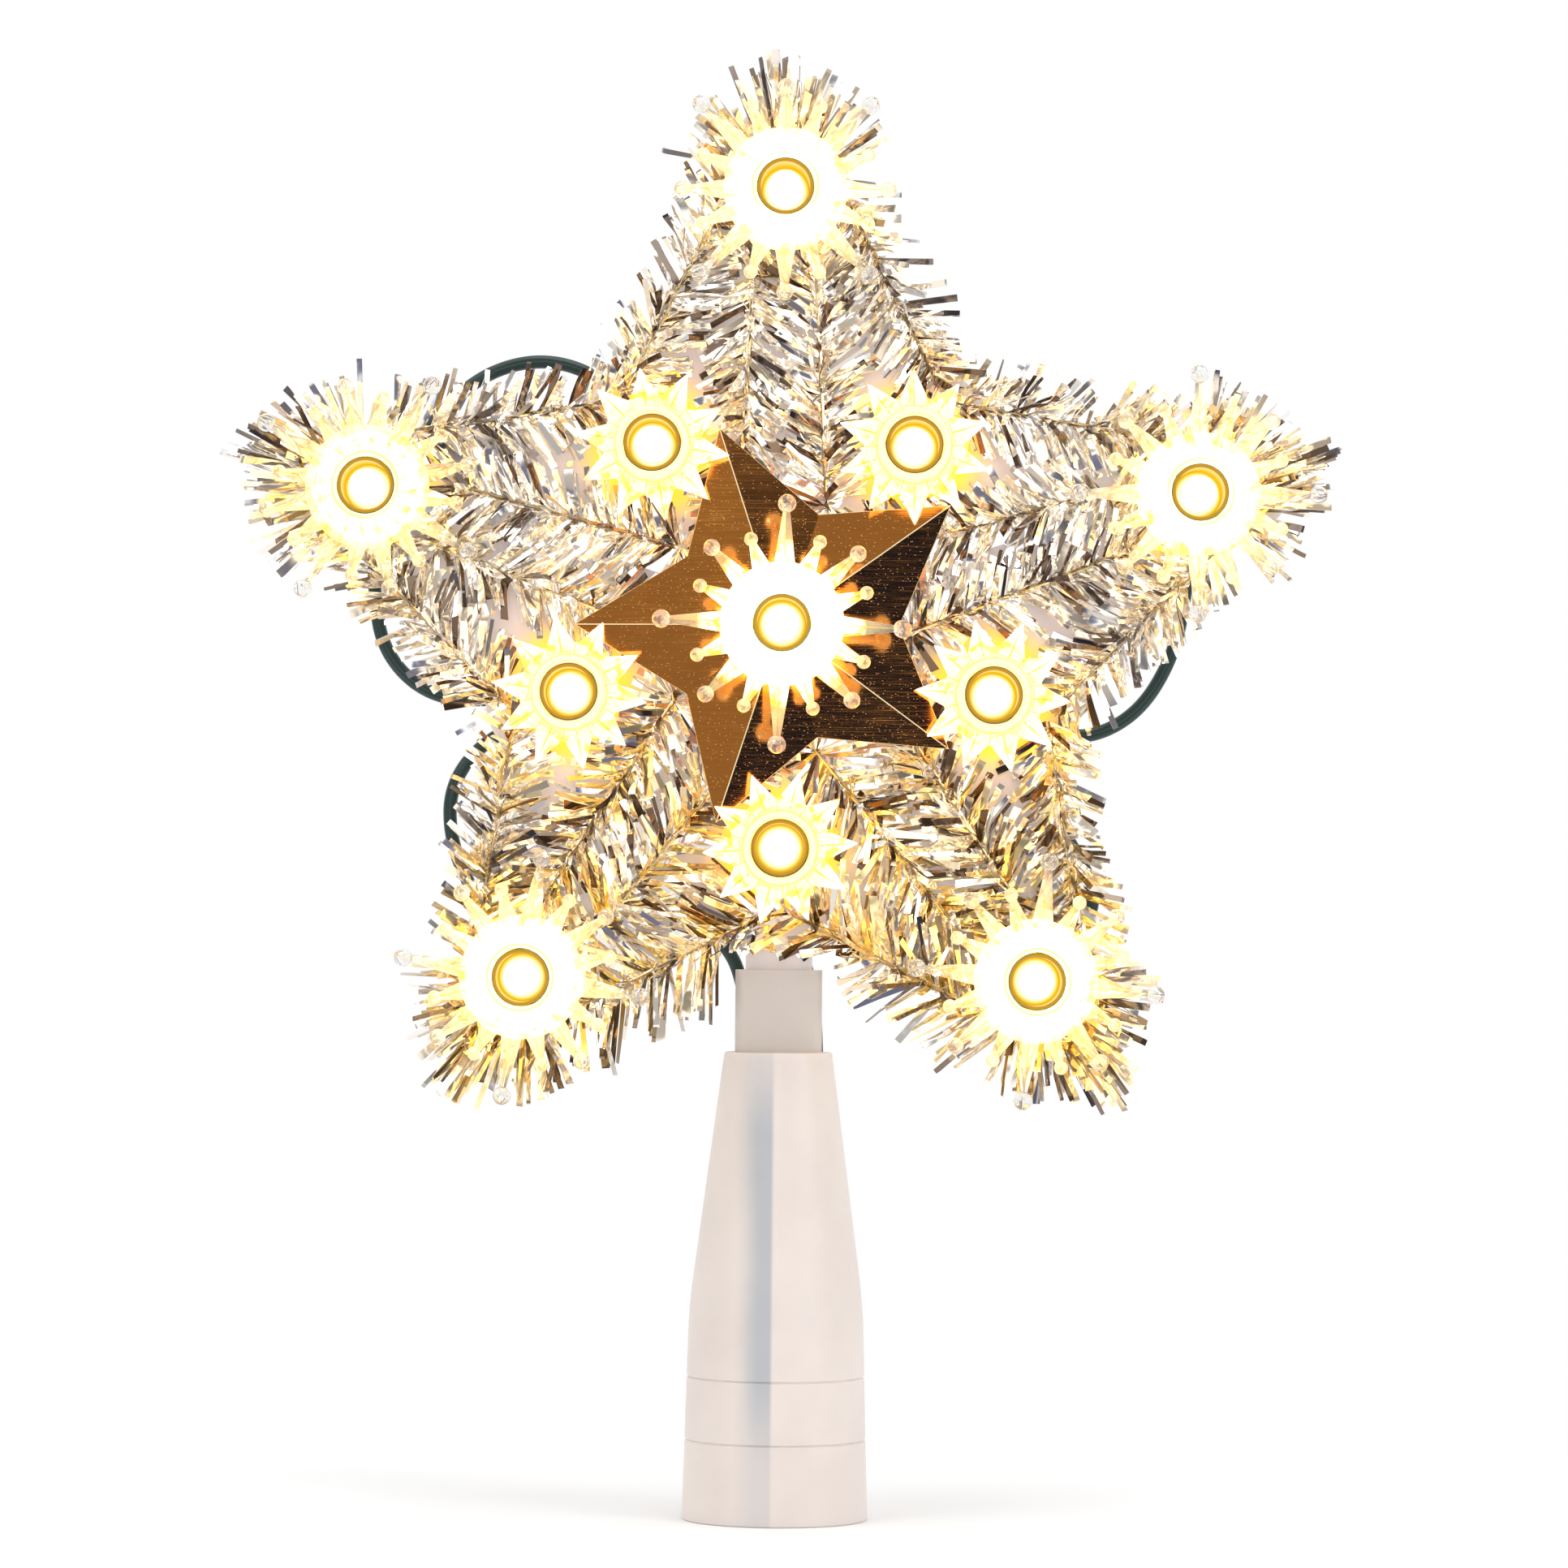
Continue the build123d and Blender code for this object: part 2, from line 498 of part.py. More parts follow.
def room_ahead(start, heading, walls):
    """Free length from a point along a heading before the first of some walls, each a point and a normal."""
    room = STRAND_LENGTH
    for point, normal in walls:
        closing = -heading.dot(normal)
        if closing > 0:
            room = min(room, ((start - point).dot(normal) - STRAND_WIDTH / 2 - TINSEL_GAP) / closing)
    return room


def passing(foot, flat, length, lamps):
    """Least distance at which a strand passes the middle of any lamp, seen from the front."""
    distances = []
    for lamp in lamps:
        share = (lamp - foot).dot(flat) / flat.dot(flat)
        distances.append((foot + flat * min(max(share, 0), length) - lamp).length)
    return min(distances)


def strands_along(start, end, side, tilts, walls, lamps):
    """Foil strands along one straight stretch of a garland core, leaning the way that the garland runs."""
    along = (end - start).normalized()
    outward = Vector(-along.Y, along.X) * side
    count = int((end - start).length / STRAND_PITCH)
    lean = math.radians(STRAND_LEAN)
    strands = []
    for k in range(count):
        foot = start + along * STRAND_PITCH * (k + 0.5)
        tilt = math.radians(tilts[k % len(tilts)])
        flat = outward * math.cos(tilt) * math.cos(lean) + along * math.sin(lean)
        rise = math.sin(tilt) * math.cos(lean)
        length = room_ahead(foot, flat, walls)
        if rise > 0:
            length = min(length, (TINSEL_DEPTH - CORE_LIFT - CORE_RADIUS - STRAND_WIDTH / 2) / rise)
        if length < STRAND_SHORTEST or passing(foot, flat, length, lamps) < BOSS_RADIUS + STRAND_WIDTH:
            continue
        root = Vector(foot.X, foot.Y, CORE_LIFT + CORE_RADIUS)
        place = Plane(origin=root, x_dir=along, z_dir=(flat.X, flat.Y, rise))
        strands.append(extrude(place * Rectangle(STRAND_WIDTH, STRAND_THICK), length))
    return strands


def core_along(points):
    """Wire core through some points of the star's plane, its stretches joined at the corners."""
    stretches = []
    for start, end in zip(points, points[1:]):
        along = (end - start).normalized()
        foot = start - along * CORE_RADIUS / 2
        place = Plane(origin=(foot.X, foot.Y, CORE_LIFT + CORE_RADIUS), x_dir=(0, 0, 1), z_dir=along)
        section = place * RegularPolygon(CORE_RADIUS, CORE_SIDES)
        stretches.append(extrude(section, (end - start).length + CORE_RADIUS))
    return stretches


def make_garlands():
    """Outer and inner garland of one point of the star, drawn for a point that lies along +Y."""
    tip = Vector(0, TIP_LAMP_RADIUS)
    notches = {}
    for side in (1, -1):
        notches[side] = Vector(*polar(NOTCH_LAMP_RADIUS, FIRST_TIP_ANGLE - side * STAR_STEP / 2))
    lamps = [tip, notches[1], notches[-1]]
    apex = tip + Vector(0, TIP_WRAP_REACH)
    outer, inner, cells = {}, {}, {}
    for side in (1, -1):
        along = (notches[side] - tip).normalized()
        outward = Vector(-along.Y, along.X) * side
        border = notches[side].normalized()
        edge = (Vector(0, 0), Vector(-border.Y, border.X) * side)
        shoulder = tip + outward * OUTER_OFFSET
        run = ((shoulder - edge[0]).dot(edge[1]) - CORE_RADIUS - TINSEL_GAP) / -along.dot(edge[1])
        outer[side] = (shoulder, shoulder + along * run)
        top = Vector(side * INNER_TOP_X, TIP_LAMP_RADIUS - INNER_TOP_DROP)
        inner[side] = (top, Vector(side * INNER_LOW_X, INNER_LOW_Y))
        cells[side] = ([edge, (tip, outward)], [(tip, -outward), (Vector(0, 0), Vector(side, 0))])
    ring_out = [outer[-1][1], outer[-1][0], apex, outer[1][0], outer[1][1]]
    ring_in = [inner[1][1], inner[1][0], inner[-1][0], inner[-1][1]]
    far = core_along(ring_out)
    far += strands_along(ring_out[0], ring_out[1], 1, BOTH_SIDES, cells[-1][0], lamps)
    far += strands_along(ring_out[1], ring_out[2], 1, OUTSIDE_ONLY, [], lamps)
    far += strands_along(ring_out[2], ring_out[3], 1, OUTSIDE_ONLY, [], lamps)
    far += strands_along(ring_out[3], ring_out[4], 1, BOTH_SIDES, cells[1][0], lamps)
    near = core_along(ring_in)
    near += strands_along(ring_in[0], ring_in[1], -1, BOTH_SIDES, cells[1][1], lamps)
    near += strands_along(ring_in[2], ring_in[3], -1, BOTH_SIDES, cells[-1][1], lamps)
    return far[0].fuse(*far[1:]), near[0].fuse(*near[1:])


def make_wire(name, points):
    """One stretch of lead between two holders: straight runs joined by arcs as large as they allow."""
    route = [Vector(x, y, STAR_HEIGHT + z) for x, y, z in points]
    runs = [after - before for before, after in zip(route, route[1:])]
    radii = []
    for before, after in zip(runs, runs[1:]):
        turn = math.radians(before.get_angle(after))
        radii.append(WIRE_ARC_SHARE * min(before.length, after.length) / math.tan(turn / 2))
    path = FilletPolyline(*route, radius=radii)
    section = Plane(origin=route[0], z_dir=runs[0]) * RegularPolygon(WIRE_RADIUS, WIRE_SIDES)
    tube = sweep(section, path)
    share = tube.volume / (section.area * path.length)
    print(f"{name}: {path.length:.1f} mm, tightest {min(radii):.1f} mm, volume share {share:.4f}")
    return tube


def main():
    """Build every piece and write one file for each node."""
    os.makedirs("parts", exist_ok=True)
    lamps = lamp_places()
    nodes = {
        "tree_cone": make_tree_cone(),
        "neck_socket": make_neck_socket(),
        "star_frame": make_star_frame(lamps),
        "foil_star": make_foil_star(),
    }
    reflectors = {"starburst": make_starburst(), "sun": make_sun()}
    holder = make_holder()
    base = make_lamp_base()
    glass = make_bulb_glass()
    contacts = []
    for name, (x, z), kind, turn, seat in lamps:
        spot = star_plane(seat, x, z).location
        nodes[f"reflector_{name}"] = star_plane(seat, x, z, turn).location * reflectors[kind]
        nodes[f"lamp_holder_{name}"] = spot * holder
        nodes[f"bulb_glass_{name}"] = spot * glass
        nodes[f"bulb_base_{name}"] = Compound(children=[spot * piece for piece in base])
        contacts += [spot * strip for strip in make_contacts()]
    nodes["holder_contacts"] = Compound(children=contacts)
    garlands = make_garlands()
    for name, garland in zip(("tinsel_outer", "tinsel_inner"), garlands):
        turns = [star_plane(FRAME_FRONT, turn=-k * STAR_STEP).location for k in range(STAR_POINTS)]
        nodes[name] = Compound(children=[turn * garland for turn in turns])
    wires = [make_wire(name, route) for name, route in WIRE_ROUTES.items()]
    nodes["lamp_lead"] = Compound(children=wires)
    for name, shape in nodes.items():
        export_step(shape, f"parts/{name}.step")
        print(name, round(shape.volume, 1), len(shape.solids()))


if __name__ == "__main__":
    main()
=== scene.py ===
"""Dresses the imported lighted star: tinsel, lit reflectors, folded foil, milky cone and green lead.

Shapes are drawn in millimetres and turned into metres where a mesh is finished.
A lamp's own axes are right, up and forward, with zero on the face that its reflector stands on.
"""

import logging
import math
import random
from dataclasses import dataclass, field
from enum import Enum
from typing import Callable, Iterable

import bmesh
import bpy
from bmesh.types import BMEdge, BMesh, BMVert
from bpy.types import ID, Material, Mesh, Node, NodeOutputs, NodeSocket as Socket, NodeTree, Object
from mathutils import Matrix, Vector
from mathutils.bvhtree import BVHTree


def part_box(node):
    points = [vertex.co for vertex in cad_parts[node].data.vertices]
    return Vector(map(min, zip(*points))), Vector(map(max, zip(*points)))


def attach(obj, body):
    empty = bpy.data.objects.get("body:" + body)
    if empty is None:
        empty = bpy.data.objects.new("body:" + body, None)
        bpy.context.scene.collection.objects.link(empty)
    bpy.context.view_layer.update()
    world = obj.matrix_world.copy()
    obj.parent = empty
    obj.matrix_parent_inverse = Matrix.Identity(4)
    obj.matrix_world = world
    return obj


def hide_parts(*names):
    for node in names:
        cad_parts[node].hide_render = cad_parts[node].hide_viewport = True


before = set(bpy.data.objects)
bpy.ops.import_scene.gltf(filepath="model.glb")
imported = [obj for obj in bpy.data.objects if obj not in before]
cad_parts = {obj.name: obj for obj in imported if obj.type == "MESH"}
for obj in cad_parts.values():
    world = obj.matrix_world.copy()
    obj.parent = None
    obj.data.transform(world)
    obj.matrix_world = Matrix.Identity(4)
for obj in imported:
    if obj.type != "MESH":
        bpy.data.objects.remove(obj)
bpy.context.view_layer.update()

LOG = logging.getLogger("star")
MM = 0.001
STAR_POINTS = 5
STAR_STEP = 360 / STAR_POINTS
TOP_ANGLE = 90

# Sizes in millimetres.
HOLDER_REACH = 10.5
RIDGE_BREAK = 0.16
FRAME_FRONT = -1.0
LEAD_DEPTH = 20
LEAD_EXIT = (8, 15)
MERGE_GAP = 0.001
LEVEL_GAP = 0.01

Triple = tuple[float, float, float]
Pair = tuple[float, float]
Colour = Triple
Link = Socket | float | int | tuple | Vector

BLACK: Colour = (0.0, 0.0, 0.0)
WHITE: Colour = (1.0, 1.0, 1.0)
GRAIN_DRIFT = 60.0
GRAIN_DRIFT_EDGE: Pair = (0.35, 0.7)
GRAIN_DARKEST: Colour = (0.82, 0.82, 0.84)


class LampKind(Enum):
    """The two sorts of clear reflector on the star."""

    STARBURST = "starburst"
    SUN = "sun"


class Slot(Enum):
    """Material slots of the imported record."""

    PLASTIC = "natural_plastic"
    GOLD = "gold_foil"
    SILVER = "silver_foil"
    CLEAR = "clear_plastic"
    GLASS = "lamp_glass"
    BASE = "lamp_base"
    GREEN = "green_plastic"
    LEAD = "lead_sheath"


class Canvas:
    """Adds nodes to one node tree and wires them up."""

    def __init__(self, tree: NodeTree) -> None:
        """Take hold of an empty or filled tree."""
        self.tree = tree

    def fill(self, node: Node, inputs: dict[str | int, Link]) -> None:
        """Link sockets into a node's inputs, or set the inputs' own values.

        Args:
            node: node that is fed.
            inputs: output sockets, colours or plain values, by name or number of the input.
        """
        for key, value in inputs.items():
            target = node.inputs[key]
            if isinstance(value, Socket):
                self.tree.links.new(value, target)
            else:
                target.default_value = (*value, 1.0) if target.type == "RGBA" else value

    def add(self, kind: str, inputs: dict[str | int, Link] | None = None, **settings: object) -> Node:
        """Add a shader node.

        Args:
            kind: node type without its ShaderNode prefix.
            inputs: values or sockets for its inputs.
            settings: properties of the node itself.

        Returns:
            The new node.
        """
        node = self.tree.nodes.new("ShaderNode" + kind)
        for key, value in settings.items():
            setattr(node, key, value)
        self.fill(node, inputs or {})
        return node

    def math(self, operation: str, *values: Link) -> Socket:
        """Work out one sum on up to three values and return its result."""
        return self.add("Math", dict(enumerate(values)), operation=operation).outputs[0]

    def times(self, first: Link, second: Link) -> Socket:
        """Product of two values."""
        return self.math("MULTIPLY", first, second)

    def scale(self, value: Link, factor: Link, start: Link) -> Socket:
        """A value times a factor, counted from a start."""
        return self.math("MULTIPLY_ADD", value, factor, start)

    def rest(self, share: Link) -> Socket:
        """What a share leaves of one."""
        return self.math("SUBTRACT", 1.0, share)

    def blend(self, share: Link, first: Link, second: Link, mode: str = "MIX") -> Socket:
        """Mix two colours by a share and return the result."""
        inputs = {0: share, 6: first, 7: second}
        return self.add("Mix", inputs, data_type="RGBA", blend_type=mode).outputs[2]

    def ramp(self, value: Link, stops: Iterable[tuple[float, Colour]]) -> Socket:
        """Colour a value by stops.

        Args:
            value: value from 0 to 1.
            stops: places from 0 to 1 with their colours.

        Returns:
            The colour.
        """
        node = self.add("ValToRGB", {0: value})
        elements = node.color_ramp.elements
        stops = list(stops)
        while len(elements) < len(stops):
            elements.new(1.0)
        for element, (place, colour) in zip(elements, stops):
            element.position = place
            element.color = (*colour, 1.0)
        return node.outputs[0]

    def span(self, value: Link, low: float, high: float) -> Socket:
        """Map a value smoothly from a range to 0 to 1."""
        inputs = {"Value": value, "From Min": low, "From Max": high}
        return self.add("MapRange", inputs, interpolation_type="SMOOTHSTEP").outputs[0]

    def noise(self, place: Link, scale: Link, detail: float) -> Socket:
        """Cloudy noise from 0 to 1 at a place."""
        return self.add("TexNoise", {"Vector": place, "Scale": scale, "Detail": detail}).outputs[0]

    def attribute(self, name: str) -> Socket:
        """Read one of the piece's own attributes."""
        return self.add("Attribute", attribute_name=name).outputs["Fac"]

    def place(self, kind: str = "Object") -> Socket:
        """Coordinates of the piece, or of another kind."""
        return self.add("TexCoord").outputs[kind]

    def axes(self, place: Link) -> NodeOutputs:
        """The three parts of a place."""
        return self.add("SeparateXYZ", {0: place}).outputs

    def grain(self, colour: Link, drift: float, scale: float) -> NodeOutputs:
        """Place the shared moulding grain and return its colour and height."""
        inputs = {"Colour": colour, "Drift": drift, "Scale": scale}
        return self.add("Group", inputs, node_tree=grain_group()).outputs

    def dress(self, inputs: dict[str | int, Link]) -> None:
        """Feed the shader of a material."""
        self.fill(self.tree.nodes["Principled BSDF"], inputs)

    def bump(self, height: Link, strength: float, depth: float) -> None:
        """Put a height from 0 to 1 on the shader's normal, with its real depth in metres."""
        inputs = {"Strength": strength, "Distance": depth, "Height": height}
        self.dress({"Normal": self.add("Bump", inputs).outputs[0]})


def grain_group() -> NodeTree:
    """Moulding grain shared by the plastics: a slow drift of tone and a fine surface height.

    Returns:
        The node group, made once.
    """
    known = bpy.data.node_groups.get("moulding_grain")
    if known:
        return known
    tree = bpy.data.node_groups.new("moulding_grain", "ShaderNodeTree")
    for name, way, kind in (
        ("Colour", "INPUT", "Color"), ("Drift", "INPUT", "Float"), ("Scale", "INPUT", "Float"),
        ("Colour", "OUTPUT", "Color"), ("Height", "OUTPUT", "Float"),
    ):
        tree.interface.new_socket(name, in_out=way, socket_type=f"NodeSocket{kind}")
    canvas = Canvas(tree)
    given = tree.nodes.new("NodeGroupInput").outputs
    place = canvas.place()
    slow = canvas.span(canvas.noise(place, GRAIN_DRIFT, detail=3.0), *GRAIN_DRIFT_EDGE)
    darker = canvas.blend(1.0, given["Colour"], GRAIN_DARKEST, "MULTIPLY")
    tone = canvas.blend(canvas.times(slow, given["Drift"]), given["Colour"], darker)
    fine = canvas.noise(place, given["Scale"], detail=4.0)
    canvas.fill(tree.nodes.new("NodeGroupOutput"), {"Colour": tone, "Height": fine})
    return tree


@dataclass(frozen=True)
class Finish:
    """A surface finish; each kind builds its own nodes once."""

    name: str

    def nodes(self, canvas: Canvas) -> None:
        """Dress the shader; the plain finish leaves it as it is.

        Args:
            canvas: the material's nodes.
        """

    def material(self) -> Material:
        """Material of this finish.

        Returns:
            The material, made on first use.
        """
        known = bpy.data.materials.get(self.name)
        if known:
            return known
        made = bpy.data.materials.new(self.name)
        made.use_nodes = True
        self.nodes(Canvas(made.node_tree))
        return made


@dataclass(frozen=True)
class FloorPaint(Finish):
    """Matt pale paint of the floor."""

    colour: Colour = (0.85, 0.85, 0.85)

    def nodes(self, canvas: Canvas) -> None:
        """Plain matt colour."""
        canvas.dress({"Base Color": self.colour, "Roughness": 0.9, "Specular IOR Level": 0.1})


@dataclass(frozen=True)
class GrainedFinish(Finish):
    """One colour with moulding or drawing grain: the lead's sheath and the contact strips."""

    colour: Colour
    grain_scale: float
    gloss: float
    depth: float
    metal: float = 0.0

    def nodes(self, canvas: Canvas) -> None:
        """Slightly uneven colour over a fine relief.

        Args:
            canvas: the material's nodes.
        """
        grain = canvas.grain(self.colour, drift=0.8, scale=self.grain_scale)
        canvas.dress({"Base Color": grain["Colour"], "Roughness": self.gloss, "Metallic": self.metal})
        canvas.bump(grain["Height"], strength=0.2, depth=self.depth)


@dataclass(frozen=True)
class MilkyPlastic(Finish):
    """Unpigmented plastic with soft light inside, painted as a glow round given lamps; the cone also has a
    painted shade stripe down its wall.
    """

    colour: Colour = (0.79, 0.70, 0.65)
    stripe: bool = False
    stripe_shade_colour: Colour = (0.46, 0.48, 0.51)
    stripe_edge: Pair = (-0.0078, -0.0028)
    stripe_seam: Pair = (-0.0012, -0.0004)
    stripe_low: Pair = (0.008, 0.026)
    stripe_high: Pair = (0.066, 0.08)
    stripe_least: float = 0.4
    stripe_gain: float = 0.55
    stripe_loss: float = 0.6
    stripe_drift: float = 0.002
    stripe_drift_scale: float = 28.0
    lit_by: tuple[Triple, ...] = ()
    lit_near: float = 0.0095
    lit_far: float = 0.0150
    rear_loss: float = 0.6
    rear_depth: float = 0.0008
    lit_colour: Colour = (0.78, 0.48, 0.02)
    lit_glow: Colour = (1.0, 0.70, 0.06)
    painted_glow: Colour = (0.16, 0.145, 0.14)
    scatter: Triple = (0.004, 0.0034, 0.003)
    grain_depth: float = 0.00008

    def nodes(self, canvas: Canvas) -> None:
        """Milky colour and fine moulding grain, with the painted shade stripe or the painted lamp light where
        they belong.

        Args:
            canvas: the material's nodes.
        """
        colour = self.paint_shade_stripe(canvas) if self.stripe else self.colour
        grain = canvas.grain(colour, drift=0.35, scale=900.0)
        canvas.dress({
            "Base Color": grain["Colour"], "Roughness": 0.42, "Subsurface Weight": 0.35,
            "Subsurface Radius": self.scatter, "Subsurface Scale": 1.0,
        })
        if self.lit_by:
            self.light_pads(canvas, grain["Colour"])
        canvas.bump(grain["Height"], strength=0.12, depth=self.grain_depth)

    def paint_shade_stripe(self, canvas: Canvas) -> Socket:
        """Colour with a painted shade stripe, sharp at the seam and soft to its left.

        Args:
            canvas: the material's nodes.

        Returns:
            The colour.
        """
        place = canvas.place()
        axes = canvas.axes(place)
        drift = canvas.math("SUBTRACT", canvas.noise(place, self.stripe_drift_scale, detail=1.0), 0.5)
        across = canvas.scale(drift, self.stripe_drift, axes[0])
        left = canvas.rest(canvas.span(axes[0], *self.stripe_seam))
        # Painted shade: the stripe's mask, which darkens the milky colour towards the stripe's shade colour.
        dim = canvas.times(canvas.span(across, *self.stripe_edge), left)
        tall = canvas.scale(canvas.span(axes[2], *self.stripe_low), self.stripe_gain, self.stripe_least)
        tall = canvas.scale(canvas.span(axes[2], *self.stripe_high), -self.stripe_loss, tall)
        return canvas.blend(canvas.times(dim, tall), self.colour, self.stripe_shade_colour)

    def light_pads(self, canvas: Canvas, colour: Link) -> None:
        """Warm lamp light painted into the plastic round each lamp that passes through it, weaker at the
        rear, over a faint painted glow everywhere else.

        Args:
            canvas: the material's nodes.
            colour: the plastic's own colour.
        """
        place = canvas.place()
        nearest: Link = self.lit_far
        for spot in self.lit_by:
            away = canvas.add("VectorMath", {0: place, 1: spot}, operation="DISTANCE").outputs["Value"]
            nearest = canvas.math("MINIMUM", away, nearest)
        rear = canvas.span(canvas.axes(place)[1], 0.0, self.rear_depth)
        share = canvas.rest(canvas.span(nearest, self.lit_near, self.lit_far))
        share = canvas.times(share, canvas.scale(rear, -self.rear_loss, 1.0))
        # Painted light: amber colour and glow near the lamps, and a faint painted glow elsewhere.
        canvas.dress({
            "Base Color": canvas.blend(share, colour, self.lit_colour),
            "Emission Color": canvas.blend(share, self.painted_glow, self.lit_glow),
            "Emission Strength": 0.7,
        })


@dataclass(frozen=True)
class MirrorFoil(Finish):
    """Gold mirror card of the folded star, embossed with fine level lines and flecked."""

    colour: Colour = (0.78, 0.32, 0.07)
    gloss: float = 0.12
    fleck_colour: Colour = (1.0, 0.88, 0.66)
    line_scale: Triple = (110.0, 110.0, 5200.0)
    fleck_scale: Triple = (900.0, 900.0, 2600.0)
    fleck_edge: Pair = (0.025, 0.15)
    fleck_share: float = 0.45
    fleck_relief: float = 0.08
    line_edge: Pair = (0.45, 0.7)
    line_dull: float = 0.22
    line_relief: float = 0.05
    dull_gain: float = 0.36
    wave_scale: float = 45.0
    wave_relief: float = 4.0
    relief_depth: float = 0.0004

    def nodes(self, canvas: Canvas) -> None:
        """Gold mirror with level emboss lines, slow waves and bright flecks.

        Args:
            canvas: the material's nodes.
        """
        place = canvas.place()
        level, dashes = (
            canvas.add("Mapping", {"Vector": place, "Scale": scale}).outputs[0]
            for scale in (self.line_scale, self.fleck_scale)
        )
        lines = canvas.noise(level, scale=1.0, detail=1.0)
        flecks = canvas.add("TexVoronoi", {"Vector": dashes, "Scale": 1.3}).outputs[0]
        spark = canvas.rest(canvas.span(flecks, *self.fleck_edge))
        streak = canvas.times(canvas.span(lines, *self.line_edge), self.line_dull)
        dull = canvas.math("MAXIMUM", spark, streak)
        bright = canvas.times(spark, self.fleck_share)
        canvas.dress({
            "Base Color": canvas.blend(bright, self.colour, self.fleck_colour),
            "Roughness": canvas.scale(dull, self.dull_gain, self.gloss),
            "Metallic": 1.0,
        })
        waves = canvas.times(canvas.noise(place, self.wave_scale, detail=2.0), self.wave_relief)
        relief = canvas.scale(spark, self.fleck_relief, canvas.scale(lines, self.line_relief, waves))
        canvas.bump(relief, strength=0.5, depth=self.relief_depth)


@dataclass(frozen=True)
class TinselFoil(Finish):
    """Silver foil of the fringe, warmed where the lamps shine on it."""

    silver: Colour = (0.97, 0.96, 0.96)
    warm: Colour = (0.97, 0.64, 0.06)
    shade_darkest: Colour = (0.14, 0.10, 0.08)
    painted_glow_least: float = 0.8
    painted_glow_gain: float = 0.2
    crinkle_scale: float = 260.0
    crinkle_depth: float = 0.0005

    def nodes(self, canvas: Canvas) -> None:
        """Metal that goes from silver to gold with the lamp light painted in by the warm attribute, each
        strip darkened by its share of painted shade.

        Args:
            canvas: the material's nodes.
        """
        warm = canvas.attribute("warm")
        colour = canvas.blend(warm, self.silver, self.warm)
        # Painted shade: each strip darkens towards the darkest colour by its shade attribute.
        dark = canvas.blend(1.0, colour, self.shade_darkest, "MULTIPLY")
        tone = canvas.blend(canvas.attribute("shade"), colour, dark)
        canvas.dress({
            "Base Color": tone, "Metallic": 1.0, "Roughness": 0.1,
            # Painted glow: the foil glows faintly, more where the lamps warm it, for lamp light bouncing
            # among the strips.
            "Emission Color": canvas.blend(canvas.scale(warm, self.painted_glow_gain, self.painted_glow_least), BLACK, tone),
            "Emission Strength": 0.2,
        })
        crinkle = canvas.noise(canvas.place(), self.crinkle_scale, detail=1.0)
        canvas.bump(crinkle, strength=0.22, depth=self.crinkle_depth)


@dataclass(frozen=True)
class LitCrystal(Finish):
    """Clear moulded plastic lit from its middle: white near the lamp, warm further out, clear at the ends."""

    full: float
    stops: tuple[tuple[float, Colour], ...]
    strength: float = 1.0
    facets_from: float = 9.0
    clear: float = 0.9
    tint: Colour = (1.0, 0.86, 0.42)
    clear_from: float = 0.65
    clear_to: float = 0.95
    shaded: Colour = (0.92, 0.37, 0.0)
    clear_colour: Colour = (0.98, 0.98, 0.98)
    shade_wobble_scale: float = 420.0
    shade_wobble_gain: float = 5.0
    shade_wobble_start: float = -2.95
    facet_edge: Pair = (0.2, 0.6)
    facet_run: float = 2.0

    def nodes(self, canvas: Canvas) -> None:
        """Glass with a painted glow that follows the reach from the lamp's axis, and painted shade on one
        side of each ridge.

        Args:
            canvas: the material's nodes.
        """
        away = canvas.attribute("reach")
        reach = canvas.math("DIVIDE", away, self.full)
        # Noise that wobbles the edge of the painted ridge shade.
        shade_wobble = canvas.noise(canvas.place(), self.shade_wobble_scale, detail=2.0)
        shade_wobble = canvas.scale(shade_wobble, self.shade_wobble_gain, self.shade_wobble_start)
        facet = canvas.span(canvas.math("ADD", canvas.attribute("facet"), shade_wobble), *self.facet_edge)
        far = canvas.span(away, self.facets_from, self.facets_from + self.facet_run)
        glow = canvas.ramp(reach, ((place / self.full, colour) for place, colour in self.stops))
        # Painted shade: past facets_from, one side of each ridge takes the darker glow.
        dim = canvas.blend(1.0, glow, self.shaded, "MULTIPLY")
        ends = ((self.clear_from, self.tint), (self.clear_to, self.clear_colour))
        canvas.dress({
            "Base Color": canvas.ramp(reach, ends), "Roughness": 0.05, "IOR": 1.49,
            "Transmission Weight": self.clear, "Emission Strength": self.strength,
            "Emission Color": canvas.blend(canvas.times(facet, far), glow, dim),
        })


@dataclass(frozen=True)
class LampGlow(Finish):
    """Burning lamp: a white middle with a warm edge."""

    middle: Colour = (1.0, 0.98, 0.88)
    edge: Colour = (1.0, 0.78, 0.25)
    glass: Colour = (0.9, 0.88, 0.8)
    warm_foot: Pair = (2.0, 7.0)

    def nodes(self, canvas: Canvas) -> None:
        """Glow that warms towards the foot of the glass.

        Args:
            canvas: the material's nodes.
        """
        rise = canvas.span(canvas.attribute("rise"), *self.warm_foot)
        canvas.dress({
            "Base Color": self.glass, "Roughness": 0.1,
            "Emission Color": canvas.blend(rise, self.edge, self.middle), "Emission Strength": 3.0,
        })


